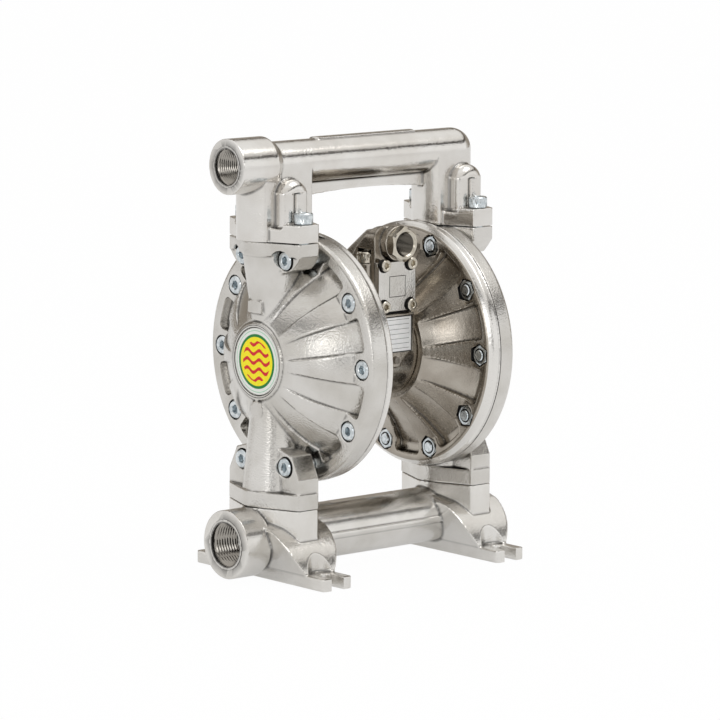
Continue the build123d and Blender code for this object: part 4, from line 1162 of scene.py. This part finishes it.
# %% Floor
floor_half = 30.0
camera_white = 0.98
mirror_white = 0.4
floor_corners = [(x * floor_half, y * floor_half, 0) for x, y in ((-1, -1), (1, -1), (1, 1), (-1, 1))]
floor = piece_from("floor", (floor_corners, [[0, 1, 2, 3]], [0]))
floor_material = bpy.data.materials.new("white_floor")
floor_material.use_nodes = True
tree = floor_material.node_tree
tree.nodes.clear()
paper = add_node(tree, "ShaderNodeBsdfDiffuse")
paper.inputs["Color"].default_value = (0.9, 0.9, 0.9, 1)
glow = add_node(tree, "ShaderNodeEmission")
glow.inputs["Color"].default_value = (1, 1, 1, 1)
path = add_node(tree, "ShaderNodeLightPath")
camera_share = calculate(tree, "MULTIPLY", path.outputs["Is Camera Ray"], camera_white)
mirror_rays = calculate(tree, "MAXIMUM", path.outputs["Is Glossy Ray"],
                        path.outputs["Is Transmission Ray"])
mirror_share = calculate(tree, "MULTIPLY", mirror_rays, mirror_white)
mix = add_node(tree, "ShaderNodeMixShader")
tree.links.new(calculate(tree, "MAXIMUM", camera_share, mirror_share), mix.inputs[0])
tree.links.new(paper.outputs[0], mix.inputs[1])
tree.links.new(glow.outputs[0], mix.inputs[2])
out = add_node(tree, "ShaderNodeOutputMaterial")
tree.links.new(mix.outputs[0], out.inputs["Surface"])
floor.data.materials.append(floor_material)
floor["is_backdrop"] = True
print("floor:", 2 * floor_half, "m wide")

# %% Sky dome
world = bpy.data.worlds.new("studio")
scene.world = world
world.use_nodes = True
tree = world.node_tree
direction = add_node(tree, "ShaderNodeTexCoord").outputs["Generated"]
height = parts_of(tree, direction)["Z"]
white = (1.0, 0.995, 0.985)
grey = (0.88, 0.86, 0.83)
gap = (0.020, 0.016, 0.012)
sky = ramp(tree, height, [(0.0, white), (0.38, white), (0.40, gap), (0.51, gap), (0.54, grey),
                          (0.72, grey), (0.85, white)])
dim = (0.36, 0.325, 0.28)
dusk = (0.12, 0.10, 0.08)
shaded = ramp(tree, height, [(0.0, dim), (0.36, dim), (0.42, dusk), (0.50, dusk), (0.60, grey),
                             (0.85, white)])


print("sky bands ready")

# %% Sides of the sky
def facing_share(toward, start, end):
    """0 to 1 as a direction turns toward a flat one."""
    dot = add_node(tree, "ShaderNodeVectorMath", operation="DOT_PRODUCT")
    dot.inputs[1].default_value = toward
    tree.links.new(direction, dot.inputs[0])
    share = add_node(tree, "ShaderNodeMapRange")
    share.inputs["From Min"].default_value = start
    share.inputs["From Max"].default_value = end
    tree.links.new(dot.outputs["Value"], share.inputs["Value"])
    return share.outputs["Result"]


photographer_side = (sin(view_azimuth), -cos(view_azimuth), 0)
far_side = (0.62, 0.78, 0)
colour = mixed(tree, facing_share(far_side, start=0.15, end=0.5), sky, shaded)
colour = mixed(tree, facing_share(photographer_side, start=0.80, end=0.90), colour, white)
strip = facing_share(photographer_side, start=0.985, end=0.992)
strip_height = 0.16
level = calculate(tree, "LESS_THAN", calculate(tree, "ABSOLUTE", height), strip_height)
colour = mixed(tree, calculate(tree, "MULTIPLY", strip, level), colour, gap)
background = tree.nodes["Background"]
tree.links.new(colour, background.inputs["Color"])
background.inputs["Strength"].default_value = 1.0
print("sky dome ready")

# %% Lamps
def softbox(name, place, size, power):
    """Square area lamp that looks at the pump's middle."""
    data = bpy.data.lights.new(name, "AREA")
    data.shape = "SQUARE"
    data.size = size
    data.energy = power
    lamp = new_object(name, data)
    lamp.location = place
    lamp.rotation_euler = (view_target - Vector(place)).to_track_quat("-Z", "Y").to_euler()
    return lamp


softbox("top_softbox", (0.5, -0.7, 1.9), size=1.1, power=7.0)
softbox("front_softbox", (-2.2, -1.2, 0.75), size=0.7, power=2.5)

# %% Sizes and finish
low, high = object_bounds()
print("dressed box in mm:", [round(c / mm, 1) for c in high - low])
